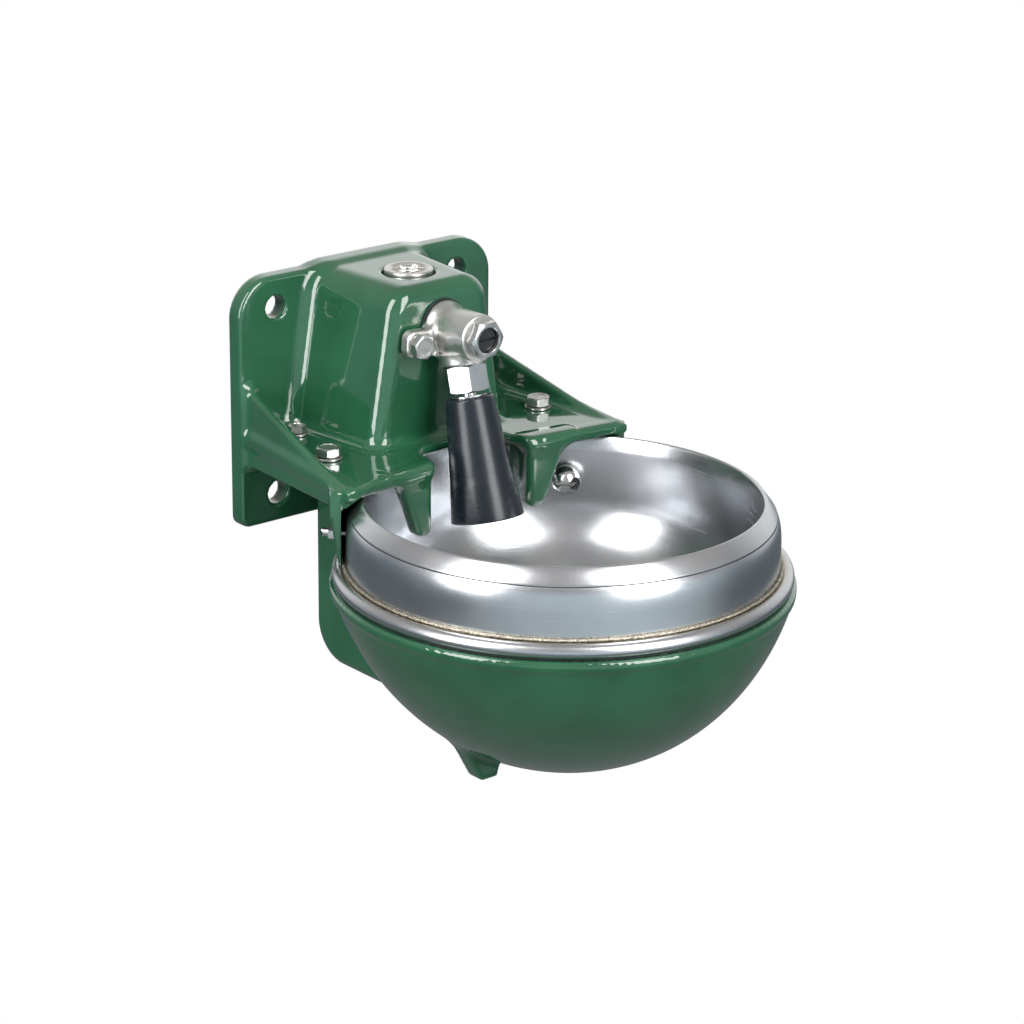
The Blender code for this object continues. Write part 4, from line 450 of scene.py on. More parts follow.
class Finish(Graph):
    """One material: its shader, and the nodes that vary it over the surface."""

    def __init__(self, name, metallic=0.0, coat=0.0):
        self.material = bpy.data.materials.new(name)
        self.material.use_nodes = True
        super().__init__(self.material.node_tree, "Principled BSDF", "Object")
        self.set("Metallic", metallic)
        self.set("Coat Weight", coat)

    def tint(self, pattern, dark, light, start=0.3, end=0.7):
        """Colour that goes from dark to light as a pattern goes from start to end."""
        self.set("Base Color", self.ramp(pattern, [(start, dark), (end, light)]))

    def clouds(self, scale, dark, light, low, high, grain):
        """Patches of two colours, with roughness between two values in a finer grain."""
        self.tint(self.noise(scale), dark, light)
        self.set("Roughness", self.noise(grain) * (high - low) + low)

    def bump(self, height, distance, strength=1.0):
        """Raise the surface by a height pattern."""
        made = self.node("ShaderNodeBump", {}, {"Height": height, "Distance": distance, "Strength": strength})
        self.set("Normal", made.outputs["Normal"])

    def give(self, *pieces):
        """Put the material on pieces, or in the slots of CAD nodes."""
        for piece in pieces:
            if not piece.material_slots:
                piece.data.materials.append(self.material)
            for slot in piece.material_slots:
                slot.material = self.material


enamel = Finish("green_enamel_coat", coat=1.0)
enamel.tint(enamel.noise(28.0, 2.0), ENAMEL_DEEP, ENAMEL_GREEN, 0.35, 0.62)
enamel.set("Roughness", enamel.noise(160.0, 2.0) * 0.06 + 0.07)
enamel.bump(enamel.noise(70.0, 2.0) * 0.7 + enamel.noise(330.0, 2.0) * 0.12, 0.0006, 0.22)

upper_low = (-0.108, -0.131, -0.077)
upper_high = (0.108, 0.003, 0.079)
upper_surface = solid_surface(upper_distance, upper_low, upper_high, CAST_STEP)
upper = new_piece("upper_casting_enamelled", upper_surface, "upper_casting")
enamel.give(upper)

# Lower casting: the outer bowl with the hollow neck behind it, the flange that the ledge's
# bolts pull up, and two small feet. It is a second iron casting in the same enamel, open
# at the top of the bowl and of the neck.
CAST_RADIUS = 0.1385
CAST_CENTRE_Z = -0.0174
CAST_DEPTH = 0.1603
CAST_WALL = 0.0055
CAST_FULLNESS = 2.1
CAST_SWEEP = 0.045
CAST_TOP = -0.0719
CAST_MOUTH = 0.1225
CAST_BAND = 0.1312
CAST_EDGE = 0.0012
CAST_FILLET = 0.007
LIP_HEIGHT = 0.006
LIP_EDGE = 0.0016
NECK_HALF = 0.053
NECK_BACK = 0.027
NECK_FRONT = 0.150
NECK_LOW = -0.1575
NECK_ROUND = 0.025
NECK_EDGE = 0.007
NECK_FILLET = 0.005
NECK_WALL = 0.005
FLANGE_BACK = (0.081, 0.0215)
FLANGE_FRONT = (0.0915, 0.104)
FLANGE_TOP = -0.0223
FLANGE_LOW = -0.0298
FLANGE_EDGE = 0.0018
COUPLING_RADIUS = 0.0139
COUPLING_BOSS = 0.017
COUPLING_BOSS_TOP = -0.135
COLLAR_ROOM = 0.1316
FOOT_LEAN = ((0.0510, 0.0625), (0.0435, 0.079))
FOOT_TIP = -0.1778
FOOT_ROOT = -0.1483
FOOT_HALF = 0.0062
FOOT_EDGE = 0.0015
OVERRUN = 0.01
LOWER_STEP = 0.0020


def oval_distance(from_axis, z, radius, depth):
    """Distance to a slightly squared oval of revolution: its level function over the slope of that."""
    across, down, power = from_axis / radius, np.abs(z - CAST_CENTRE_Z) / depth, CAST_FULLNESS
    level = np.maximum((across ** power + down ** power) ** (1 / power), TINY)
    slope = length((across / level) ** (power - 1) / radius, (down / level) ** (power - 1) / depth)
    return (level - 1) / np.maximum(slope, TINY)


def neck_distance(x, reach, z, inset):
    """Square neck with a round lower back, drawn in by an inset."""
    back = common(NECK_BACK + inset - reach, NECK_LOW + inset - z, NECK_ROUND - inset)
    sides = both(np.abs(x) - NECK_HALF + inset, reach - NECK_FRONT)
    return common(back, sides, NECK_EDGE - inset / 2)


def lower_distance(x, y, z):
    """Lower casting: neck, flange, bowl and feet joined with fillets, then hollowed."""
    side, reach = np.abs(x), -y
    neck = both(neck_distance(x, reach, z, 0), z - FLANGE_TOP + FINE)
    flange = -line(side, reach, FLANGE_BACK, FLANGE_FRONT)
    flange = both(flange, within(reach, FLANGE_BACK[1], FLANGE_FRONT[1]))
    flange = common(flange, within(z, FLANGE_LOW, FLANGE_TOP), FLANGE_EDGE)
    solid = joined(neck, flange, NECK_FILLET)
    from_axis = length(x, y + BOWL_REACH)
    solid = common(solid, -both(from_axis - COLLAR_ROOM, CAST_TOP - GAP - z), FINE)
    from_middle = length(x, y + BOWL_REACH + CAST_SWEEP * np.maximum(CAST_TOP - z, 0))
    bowl = oval_distance(from_middle, z, CAST_RADIUS, CAST_DEPTH)
    solid = joined(solid, common(bowl, z - CAST_TOP, CAST_EDGE), CAST_FILLET)
    lip = both(from_axis - CAST_BAND, CAST_MOUTH - from_axis)
    lip = common(lip, within(z, CAST_TOP - LIP_HEIGHT, CAST_TOP), LIP_EDGE)
    solid = joined(solid, lip, FINE)

    outer = -line(side, z, (FOOT_LEAN[0][1], FOOT_TIP), (FOOT_LEAN[1][1], FOOT_ROOT))
    inner = line(side, z, (FOOT_LEAN[0][0], FOOT_TIP), (FOOT_LEAN[1][0], FOOT_ROOT))
    foot = common(common(outer, inner, FINE), within(z, FOOT_TIP, FOOT_ROOT), CAST_EDGE)
    foot = common(foot, np.abs(reach - BOWL_REACH) - FOOT_HALF, FOOT_EDGE)
    solid = joined(solid, foot, SUNK)

    hollow = oval_distance(from_middle, z, CAST_RADIUS - CAST_WALL, CAST_DEPTH - CAST_WALL)
    hollow = both(hollow, z - CAST_TOP - OVERRUN)
    mouth = both(from_axis - CAST_MOUTH, within(z, CAST_TOP - LIP_HEIGHT, CAST_TOP + OVERRUN))
    solid = common(solid, -either(hollow, mouth), FINE)
    room = both(neck_distance(x, reach, z, NECK_WALL), -bowl)
    room = both(room, np.where(z > CAST_TOP, COLLAR_ROOM + FINE - from_axis, -1.0))
    from_pipe = length(x, reach - TEE_REACH)
    boss = both(from_pipe - COUPLING_BOSS, z - COUPLING_BOSS_TOP)
    solid = common(solid, -both(room, -boss), SLIGHT)
    bore = both(from_pipe - COUPLING_RADIUS, z - COUPLING_BOSS_TOP - NECK_FILLET)
    return common(solid, -bore, HOLE_EDGE)


lower_low = (-0.142, -0.334, -0.183)
lower_high = (0.142, -0.018, -0.020)
lower_surface = solid_surface(lower_distance, lower_low, lower_high, LOWER_STEP)
lower = new_piece("lower_casting_enamelled", lower_surface, "lower_casting")
enamel.give(lower)

# Steel bowl: a deep-drawn stainless bowl whose rim is turned out and down over a collar
# of the same sheet, so that only a hair-thin seam shows. Both are polished, the bowl with
# fine marks round its axis.
SHEET = 0.0016
INSERT_RADIUS = 0.1085
INSERT_SPRING = -0.060
INSERT_DEPTH = 0.060
LIP_FOOT = -0.0330
CREST = (0.1128, -0.0236)
SEAM = (0.1198, -0.0325)
COLLAR_RADIUS = 0.122
COLLAR_SPRING = -0.048
COLLAR_LOW = -0.0705
TURN_STEPS = 256


def oval_arc(radius, depth, spring, count=48):
    """Points from the pole up to the spring line of a half oval."""
    turn = np.linspace(math.pi / 2, 0, count)
    return np.stack([radius * np.cos(turn), spring - depth * np.sin(turn)], axis=1)


def bend(start, control, end, count=8):
    """Parabola between two points that leaves and arrives along the lines to the control point."""
    t = np.linspace(0, 1, count)[:, None]
    return (1 - t) ** 2 * np.array(start) + 2 * t * (1 - t) * np.array(control) + t ** 2 * np.array(end)


def turned(profile, centre=(0, 0, 0), axis=(0, 0, 1), steps=TURN_STEPS):
    """Surface of revolution: a profile (radius, height) carried round an axis.

    A point is the centre, plus the height along the axis, plus the radius along a direction
    that goes once round it. A profile that starts and ends on the axis closes at its poles;
    any other one is closed on itself.
    """
    profile = np.asarray(profile, float)
    along = Vector(axis).normalized()
    across = along.orthogonal().normalized()
    other = along.cross(across)
    turn = np.linspace(0, 2 * math.pi, steps, endpoint=False)
    ring = np.cos(turn)[:, None] * np.array(across) + np.sin(turn)[:, None] * np.array(other)
    points = np.array(centre) + profile[:, 1, None, None] * np.array(along) + profile[:, 0, None, None] * ring
    return grid_faces(points, closed=profile[0, 0] > TINY)


def grid_faces(points, closed):
    """Quads of a grid that is round in its second direction, and in its first one if closed."""
    rows, columns = points.shape[:2]
    index = np.arange(rows * columns).reshape(rows, columns)
    after = np.roll(index, -1, axis=1)
    lower_rows = np.roll(index, -1, axis=0) if closed else index[1:]
    lower_after = np.roll(after, -1, axis=0) if closed else after[1:]
    upper_rows, upper_after = (index, after) if closed else (index[:-1], after[:-1])
    faces = np.stack([upper_rows, upper_after, lower_after, lower_rows], axis=-1).reshape(-1, 4)
    return points.reshape(-1, 3), faces


def closed_piece(name, surface, stands_for, sharp=None, body="housing"):
    """Piece from a surface whose double points are merged and whose faces then point outwards."""
    piece = new_piece(name, surface, stands_for, None, body)
    shape = bmesh.new()
    shape.from_mesh(piece.data)
    bmesh.ops.remove_doubles(shape, verts=shape.verts, dist=TINY)
    bmesh.ops.dissolve_degenerate(shape, edges=shape.edges, dist=TINY)
    bmesh.ops.recalc_face_normals(shape, faces=shape.faces)
    shape.to_mesh(piece.data)
    shape.free()
    smoothed(piece.data, sharp)
    return piece


BOWL_CENTRE = (0, -BOWL_REACH, 0)
inner_wall = oval_arc(INSERT_RADIUS, INSERT_DEPTH, INSERT_SPRING)
outer_wall = oval_arc(INSERT_RADIUS + SHEET, INSERT_DEPTH + SHEET, INSERT_SPRING)
wall, wall_out = INSERT_RADIUS, INSERT_RADIUS + SHEET + 0.0006
crest, crest_z = CREST
seam, seam_z = SEAM
lip = np.concatenate([
    bend((wall + 0.0010, LIP_FOOT), (wall + 0.0022, -0.0262), (crest - 0.0010, crest_z - 0.0007)),
    bend((crest - 0.0006, crest_z - 0.0003), (crest, crest_z + 0.0001), (crest + 0.0009, crest_z - 0.0006)),
    bend((seam - 0.0006, seam_z + 0.0008), SEAM, (seam - 0.0003, seam_z - 0.0004), 4),
    [(seam - 0.0012, seam_z + 0.0002), (crest + 0.0012, crest_z - SHEET * 1.4), (wall_out, LIP_FOOT)]])
bowl_profile = np.concatenate([inner_wall, lip, outer_wall[::-1]])
bowl = closed_piece("steel_bowl", turned(bowl_profile, BOWL_CENTRE), "bowl_insert", 50)
collar_top, collar_inside = (seam - 0.0001, seam_z - 0.0007), COLLAR_RADIUS - SHEET
collar_bend = bend(collar_top, (COLLAR_RADIUS, -0.0372), (COLLAR_RADIUS, COLLAR_SPRING), 20)[1:]
collar_profile = np.concatenate([
    [(collar_top[0] - SHEET, collar_top[1] - 0.0002), collar_top], collar_bend,
    [(COLLAR_RADIUS, COLLAR_LOW), (collar_inside, COLLAR_LOW), (collar_inside, COLLAR_SPRING)]])
collar = closed_piece("steel_collar", turned(collar_profile, BOWL_CENTRE), "collar_shell", 40)


def turned_metal(name, roughness):
    """Polished metal with marks that run round the bowl's axis.

    The marks are noise on three numbers: how far a point is from the axis and how high it
    is, both drawn out strongly, and its place round the axis, hardly drawn out at all.
    The finish keeps the distance from the axis and the clouds in its roughness.
    """
    made = Finish(name, 1.0)
    x, y, z = made.axes()
    away = (x * x + (y + BOWL_REACH) * (y + BOWL_REACH)) ** 0.5
    drawn = {"X": x * AROUND_SCALE, "Y": y * AROUND_SCALE, "Z": (away + z * 0.8) * MARK_SCALE}
    marks = made.noise(1.0, 4.0, made.node("ShaderNodeCombineXYZ", {}, drawn).outputs["Vector"], 0.6)
    made.away, made.cloud = away, made.noise(34.0, 2.0)
    made.set("Roughness", marks * 0.10 + made.cloud * 0.06 + (roughness - 0.08))
    made.bump(marks, 0.0001, 0.35)
    return made


AROUND_SCALE = 9.0
MARK_SCALE = 1500.0
steel = turned_metal("polished_steel", 0.25)
steel.tint(steel.cloud, (0.56, 0.575, 0.60), (0.63, 0.64, 0.66))
steel.give(bowl, collar)

# Bead and weld: a rolled ring that rests on the lower casting's mouth, welded to the
# collar all the way round. The weld is left as it cooled, grainy and a little straw
# coloured, and its heat has tinted the ring beside it. Rubber seals it below.
BEAD_RADIUS = 0.130
BEAD_TOP = -0.0625
BEAD_HEIGHT = 0.0085
WELD_RADIUS = 0.0008
WELD_HEIGHT = 0.0009
WELD_WIDTH_SHARE = 1.3
WELD_GRAIN = 0.00013
HEAT_REACH = 0.0052
nose = BEAD_HEIGHT / 2
turn = np.radians(np.linspace(-90, 90, 25))
bead_nose = np.stack([BEAD_RADIUS - nose + nose * np.cos(turn), BEAD_TOP - nose + nose * np.sin(turn)], axis=1)
bead_inner = COLLAR_RADIUS + GAP
bead_profile = np.concatenate([[(bead_inner, BEAD_TOP - BEAD_HEIGHT)], bead_nose,
                               [(bead_inner + 0.0024, BEAD_TOP), (bead_inner, BEAD_TOP - 0.0004)]])
bead = closed_piece("bead", turned(bead_profile, BOWL_CENTRE), "bead_ring", 50)
turn = np.linspace(0, 2 * math.pi, 10, endpoint=False)
weld_profile = np.stack([bead_inner + WELD_RADIUS * (1 + np.cos(turn) * WELD_WIDTH_SHARE),
                         BEAD_TOP + WELD_HEIGHT + np.sin(turn) * WELD_HEIGHT], axis=1)
weld_points, weld_faces = turned(weld_profile, BOWL_CENTRE, steps=900)
weld_points = weld_points + np.random.default_rng(4).normal(0, WELD_GRAIN, weld_points.shape)
weld = closed_piece("weld", (weld_points, weld_faces), "weld_seam")
bead_metal = turned_metal("bead_steel", 0.28)
heat = (bead_metal.away - COLLAR_RADIUS) / HEAT_REACH + (bead_metal.noise(120.0) - 0.5) * 0.5
bead_metal.set("Base Color", bead_metal.ramp(heat, [(0.05, (0.36, 0.32, 0.26)), (0.55, (0.50, 0.47, 0.42)),
                                                    (0.95, (0.58, 0.59, 0.61))]))
bead_metal.give(bead)
weld_metal = Finish("weld_grain", 1.0)
weld_metal.set("Roughness", 0.42)
weld_metal.tint(weld_metal.noise(900.0), (0.22, 0.19, 0.14), (0.72, 0.67, 0.56), 0.35, 0.65)
weld_metal.bump(weld_metal.noise(1500.0), 0.0005, 0.8)
weld_metal.give(weld)

# Drinking tube: a tapered rubber tube moulded over the swivel's socket, with a fine
# moulding line where its lower end flares. The animal pushes it to open the valve.
OUTLET_REACH = 0.098
OUTLET_LEAN = math.radians(14.0)
OUTLET_DOWN = (0, -math.sin(OUTLET_LEAN), -math.cos(OUTLET_LEAN))
OUTLET_CENTRE = (0, -OUTLET_REACH, VALVE_Z)
TUBE_TOP = (0.0139, 0.0384)
TUBE_CREASE = (0.0183, 0.086)
TUBE_END = (0.02125, 0.1096)
TUBE_BORE = 0.0068
TUBE_TAIL = 0.0604
TUBE_THROAT = 0.0644
TUBE_THROAT_RADIUS = 0.0088
TUBE_WALL = 0.004
top, top_at = TUBE_TOP
crease, crease_at = TUBE_CREASE
end, end_at = TUBE_END
inside = end - TUBE_WALL
tube_profile = np.concatenate([
    [(TUBE_BORE, top_at)],
    bend((top - 0.0016, top_at), TUBE_TOP, (top + 0.0002, top_at + 0.0016)),
    np.linspace((top + 0.0003, top_at + 0.003), (crease, crease_at - 0.0002), 14),
    np.linspace((crease + 0.00006, crease_at), (end, end_at - 0.0008), 9),
    bend((end, end_at - 0.0006), TUBE_END, (end - 0.0006, end_at), 5),
    bend((inside + 0.0006, end_at), (inside, end_at), (inside, end_at - 0.0006), 5),
    [(crease - TUBE_WALL, crease_at), (TUBE_THROAT_RADIUS, TUBE_THROAT), (TUBE_BORE, TUBE_TAIL)]])
tube = closed_piece("rubber_tube", turned(tube_profile, OUTLET_CENTRE, OUTLET_DOWN, 160),
                    "drinking_tube", 45, "tube")
tube_rubber = Finish("tube_rubber")
tube_rubber.set("Base Color", (0.0085, 0.0125, 0.0180, 1.0))
tube_rubber.set("Roughness", tube_rubber.noise(220.0) * 0.12 + 0.22)
tube_rubber.bump(tube_rubber.noise(420.0), 0.00012, 0.35)
tube_rubber.give(tube)

# Valve body: one stainless casting that plugs into the tee through the box front. It has a
# dished barrel, a flange with two ears, and an outlet that leans forward over the bowl. The
# casting is blasted to a satin grey; the outlet's end is turned bright.
VALVE_ROOT = 0.0838
VALVE_SHOULDER = 0.0915
VALVE_NOSE = 0.1172
VALVE_BOSS = 0.1199
FORWARD = (0, -1, 0)
BARREL_RADIUS = 0.0127
BARREL_EDGE = 0.0007
ROOT_FLARE = (0.0052, 0.0020)
# Where a swelling begins, its length and its height: along the barrel and down the outlet.
BARREL_SWELL = (0.0950, 0.0222, 0.0006)
OUTLET_SWELL = (0.0092, 0.0030, 0.0021)
OUTLET_RADIUS = 0.0115
OUTLET_ENDS = (0.0012, 0.019)
OUTLET_EDGE = 0.0009
OUTLET_FILLET = 0.0055
OUTLET_BORE = 0.006
STUB_RADIUS = 0.009
STUB_ENDS = (0.017, 0.0255)
BOSS_RADIUS = 0.0088
GROOVE_FLOOR = 0.0091
GROOVE_HALF = 0.0013
CHAMBER_RADIUS = 0.0065
RECESS_RADIUS = 0.0081
RECESS_FLOOR = 0.1151
SPIGOT_EDGE = 0.0006
SPIGOT_END = 0.063
SPIGOT_RADIUS = 0.0112
SEAL_REACH = 0.0725
EAR_LEFT = (-0.0252, 0.0452)
EAR_RIGHT = (0.0242, 0.0415)
EAR_HALF_LENGTH = 0.0316
EAR_HALF_HEIGHT = 0.0080
EAR_CORNER = 0.0052
EAR_EDGE = 0.0017
EAR_FILLET = 0.0045
EAR_HOLE = 0.0044
EAR_HOLE_BACK = 0.08
VALVE_SPACE = ((-0.034, -0.1216, 0.024), (0.034, -0.061, 0.068))
VALVE_STEP = 0.00055


def ear_distance(x, z, corner):
    """Outline of the two-eared flange, seen along the valve."""
    turn = math.atan2(EAR_RIGHT[1] - EAR_LEFT[1], EAR_RIGHT[0] - EAR_LEFT[0])
    across, up = x - (EAR_LEFT[0] + EAR_RIGHT[0]) / 2, z - (EAR_LEFT[1] + EAR_RIGHT[1]) / 2
    u, v = across * math.cos(turn) + up * math.sin(turn), up * math.cos(turn) - across * math.sin(turn)
    return rounded_plate(u, v, EAR_HALF_LENGTH, EAR_HALF_HEIGHT, corner)


def down_outlet(x, y, z):
    """Distance from the outlet's axis, and distance down it."""
    forward, rise = y + OUTLET_REACH, z - VALVE_Z
    down = -forward * math.sin(OUTLET_LEAN) - rise * math.cos(OUTLET_LEAN)
    return length(x, forward * math.cos(OUTLET_LEAN) - rise * math.sin(OUTLET_LEAN)), down


def valve_distance(x, y, z):
    """Valve body: barrel, ears and outlet joined with fillets, then bored."""
    reach, from_axis = -y, length(x, z - VALVE_Z)
    root = np.exp(-((reach - VALVE_ROOT) / ROOT_FLARE[0]) ** 2) * ROOT_FLARE[1]
    start, span, height = BARREL_SWELL
    radius = BARREL_RADIUS + root + np.clip((reach - start) / span, 0, 1) * height
    barrel = common(from_axis - radius, within(reach, VALVE_ROOT, VALVE_NOSE), BARREL_EDGE)
    ears = common(ear_distance(x, z, EAR_CORNER), within(reach, VALVE_ROOT + GAP, VALVE_SHOULDER), EAR_EDGE)
    solid = joined(barrel, ears, EAR_FILLET)
    away, down = down_outlet(x, y, z)
    start, span, height = OUTLET_SWELL
    radius = OUTLET_RADIUS + height * np.clip((down - start) / span, 0, 1) ** 2
    outlet = common(away - radius, within(down, *OUTLET_ENDS), OUTLET_EDGE)
    solid = joined(solid, outlet, OUTLET_FILLET)
    solid = either(solid, both(away - STUB_RADIUS, within(down, *STUB_ENDS)))
    spigot = within(reach, SPIGOT_END, VALVE_ROOT + FINE)
    solid = either(solid, common(from_axis - SPIGOT_RADIUS, spigot, SPIGOT_EDGE))
    boss = within(reach, VALVE_NOSE - FINE, VALVE_BOSS)
    solid = either(solid, both(from_axis - BOSS_RADIUS, boss))
    groove = both(GROOVE_FLOOR - from_axis, np.abs(reach - SEAL_REACH) - GROOVE_HALF)
    chamber = both(from_axis - CHAMBER_RADIUS, SPIGOT_END - SUNK - reach)
    recess = both(from_axis - RECESS_RADIUS, RECESS_FLOOR - reach)
    bore = both(away - OUTLET_BORE, -down)
    cut = either(either(groove, chamber), either(recess, bore))
    for ear_x, ear_z in (EAR_LEFT, EAR_RIGHT):
        cut = either(cut, both(length(x - ear_x, z - ear_z) - EAR_HOLE, EAR_HOLE_BACK - reach))
    return both(solid, -cut)


valve_surface = solid_surface(valve_distance, *VALVE_SPACE, VALVE_STEP)
valve = new_piece("valve_casting", valve_surface, "valve_body", 55)
satin = Finish("cast_satin", 1.0)
satin.clouds(60.0, (0.66, 0.645, 0.61), (0.80, 0.79, 0.77), 0.26, 0.42, 300.0)
satin.bump(satin.noise(900.0) * 0.5 + satin.noise(200.0, 2.0), 0.00025, 0.35)
satin.give(valve)
black = Finish("black_rubber_seal")
black.clouds(150.0, (0.009, 0.010, 0.012), (0.016, 0.018, 0.021), 0.42, 0.62, 400.0)
black.bump(black.noise(900.0, 2.0), 0.0001, 0.3)
GASKET_REACH = 0.0823
gasket_profile = [(0.0115, 0.0001), (0.0152, 0.0001), (0.0154, 0.0003),
                  (0.0154, 0.0009), (0.0152, 0.0011), (0.0115, 0.0011)]
gasket_surface = turned(gasket_profile, (0, -GASKET_REACH, VALVE_Z), FORWARD, 64)
valve_gasket = closed_piece("valve_flange_gasket", gasket_surface, "valve_gasket", 40)
black.give(valve_gasket, nodes["spigot_seal"], nodes["plunger_seal"], nodes["rim_gasket"],
           nodes["regulator_seal"], nodes["swivel_ring"], nodes["heater_lead"])

# Cap and union nut: bright turned stainless hexagons. The cap holds the regulator in the
# barrel's nose; the nut holds the swivel ring and the tube's ball against the outlet.
HEX_FALL = 0.53
HEX_SOFT = 0.0003
X_AXIS = (1, 0, 0)


def six_sided(centre, along, across, flats, low, high, before, after, face_share):
    """Hexagon bar between two heights, with cone chamfers and with turned rows on both ends.

    Its outline is a hexagon whose corners are arcs. Every row takes the outline's directions.
    The end faces are circles, a share of the width; from each circle the chamfer falls with
    the outline's distance beyond it, which gives the curved edges of a real nut. The rows
    before the low face and after the high face are circles given as (radius, height).
    """
    along, across = Vector(along).normalized(), Vector(across).normalized()
    other = along.cross(across)
    corner = (flats / 2 - HEX_SOFT) / math.cos(math.radians(30))

    def corner_point(side, degrees):
        """Point on the arc of one corner."""
        middle = math.radians(60 * side)
        turn = middle + math.radians(degrees)
        return np.array((corner * math.cos(middle) + HEX_SOFT * math.cos(turn),
                         corner * math.sin(middle) + HEX_SOFT * math.sin(turn)))

    outline = []
    for side in range(6):
        outline += [corner_point(side, degrees) for degrees in np.linspace(-30, 30, 5)]
        start, end = outline[-1], corner_point(side + 1, -30)
        outline += [start + (end - start) * share for share in np.linspace(0, 1, 8)[1:-1]]
    outline = np.array(outline)
    distance = length(outline[:, 0], outline[:, 1])
    directions = outline / distance[:, None]
    face, whole = flats / 2 * face_share, np.ones(len(outline))
    fall = np.maximum(distance - face, 0) * HEX_FALL
    rows = [(whole * radius, whole * height) for radius, height in [*before, (face, low)]]
    rows += [(distance, low + fall), (distance, high - fall)]
    rows += [(whole * radius, whole * height) for radius, height in [(face, high), *after]]
    spread = directions[:, :1] * np.array(across) + directions[:, 1:] * np.array(other)
    points = [np.array(centre) + heights[:, None] * np.array(along) + radii[:, None] * spread
              for radii, heights in rows]
    return grid_faces(np.array(points), closed=rows[0][0][0] > TINY)


cap_surface = six_sided(
    (0, -VALVE_NOSE - GAP, VALVE_Z), FORWARD, X_AXIS, 0.0201, 0, 0.0071,
    [(0.0074, 0.0067), (0.0074, 0.0032), (0.0091, 0.0032), (0.0091, 0)], [(0.0078, 0.0071)], 0.91)
cap = closed_piece("valve_nose_cap", cap_surface, "valve_cap", 25)
union_surface = six_sided(
    OUTLET_CENTRE, OUTLET_DOWN, X_AXIS, 0.0228, 0.0193, 0.0355,
    [(0.0078, 0.0355), (0.0078, 0.0339), (0.0093, 0.0339), (0.0093, 0.0193)], [], 0.93)
union = closed_piece("union_nut_hexagon", union_surface, "union_nut", 25)
turned_steel = Finish("turned_stainless", 1.0)
turned_steel.clouds(90.0, (0.64, 0.64, 0.63), (0.74, 0.74, 0.735), 0.14, 0.28, 500.0)
turned_steel.bump(turned_steel.noise(1400.0, 2.0), 0.0001, 0.25)
turned_steel.give(cap, union, nodes["tube_socket"], nodes["plunger_spring"])

# Supply tee: stands in the box with its threaded mouth a little proud of the crown, and
# takes the valve in its branch. Its thread is a ridge that climbs once round per pitch.
TEE_RADIUS = 0.01425
TEE_TOP = 0.0776
TEE_LOW = 0.024
TEE_EDGE = 0.0007
TEE_BORE = 0.0093
TEE_BACK = 0.0757
BRANCH_RADIUS = 0.0139
BRANCH_EDGE = 0.0005
TEE_EAR_CORNER = 0.0050
TEE_EAR_THICK = 0.006
TEE_EAR_HOLE = 0.0043
TEE_EAR_HOLE_BACK = 0.066
THREAD_PITCH = 0.0018
THREAD_HEIGHT = 0.0011
THREAD_LOW = 0.062
MOUTH_BEVEL = 0.0104
SOCKET_RADIUS = 0.01095
SOCKET_TOP = 0.038
BRANCH_BORE = 0.0116
BRANCH_BORE_BACK = 0.0045
TEE_SPACE = ((-0.034, -0.077, 0.023), (0.034, -0.035, 0.0785))
TEE_STEP = 0.0006


def tee_distance(x, y, z):
    """Tee: upright, branch and flange joined, then bored and threaded."""
    reach = -y
    from_upright, from_branch = length(x, reach - TEE_REACH), length(x, z - VALVE_Z)
    upright = common(from_upright - TEE_RADIUS, within(z, TEE_LOW, TEE_TOP), TEE_EDGE)
    branch = within(reach, TEE_REACH, TEE_BACK - FINE)
    branch = common(from_branch - BRANCH_RADIUS, branch, BRANCH_EDGE)
    flange = within(reach, TEE_BACK - TEE_EAR_THICK, TEE_BACK)
    flange = common(ear_distance(x, z, TEE_EAR_CORNER), flange, CAST_EDGE)
    solid = joined(joined(upright, branch, SUNK), flange, SLIGHT)
    climb = z / THREAD_PITCH - np.arctan2(reach - TEE_REACH, x) / (2 * math.pi)
    ridge = np.abs(climb - np.floor(climb) - 0.5) * 2
    threaded = within(z, THREAD_LOW, TEE_TOP + OVERRUN) < 0
    cut = from_upright - (TEE_BORE + THREAD_HEIGHT * np.where(threaded, ridge, 0.0))
    cut = either(cut, both(from_upright - SOCKET_RADIUS, z - SOCKET_TOP))
    cut = either(cut, from_upright - MOUTH_BEVEL - (z - TEE_TOP + FINE))
    cut = either(cut, both(from_branch - BRANCH_BORE, TEE_REACH + BRANCH_BORE_BACK - reach))
    for ear_x, ear_z in (EAR_LEFT, EAR_RIGHT):
        hole = length(x - ear_x, z - ear_z) - TEE_EAR_HOLE
        cut = either(cut, both(hole, TEE_EAR_HOLE_BACK - reach))
    return both(solid, -cut)


tee_surface = solid_surface(tee_distance, *TEE_SPACE, TEE_STEP)
tee = new_piece("supply_tee", tee_surface, "connection_tee", 50)
satin.give(tee)

# Bolts of the valve and of the ledge: zinc-plated hexagon bolts with spring and flat
# washers, and nuts under the lower casting's flange.
DOWN = (0, 0, -1)
BACKWARD = (0, 1, 0)
WASHER = 0.0014
LEDGE_SEAT = GAP + WASHER + GAP
RING_BREAK = 0.0002
BREAK = 0.0004
SHANK_BREAK = 0.0006
HEAD_DISH = (0.33, 0.36)
BOLT_FACE = 0.93
NUT_FACE = 0.94
# Where the valve's bolts end, and their heads: width, height, shank's and washer's radius.
VALVE_BOLT_END = 0.0697
VALVE_BOLT = (0.013, 0.0053, 0.004, 0.0065)
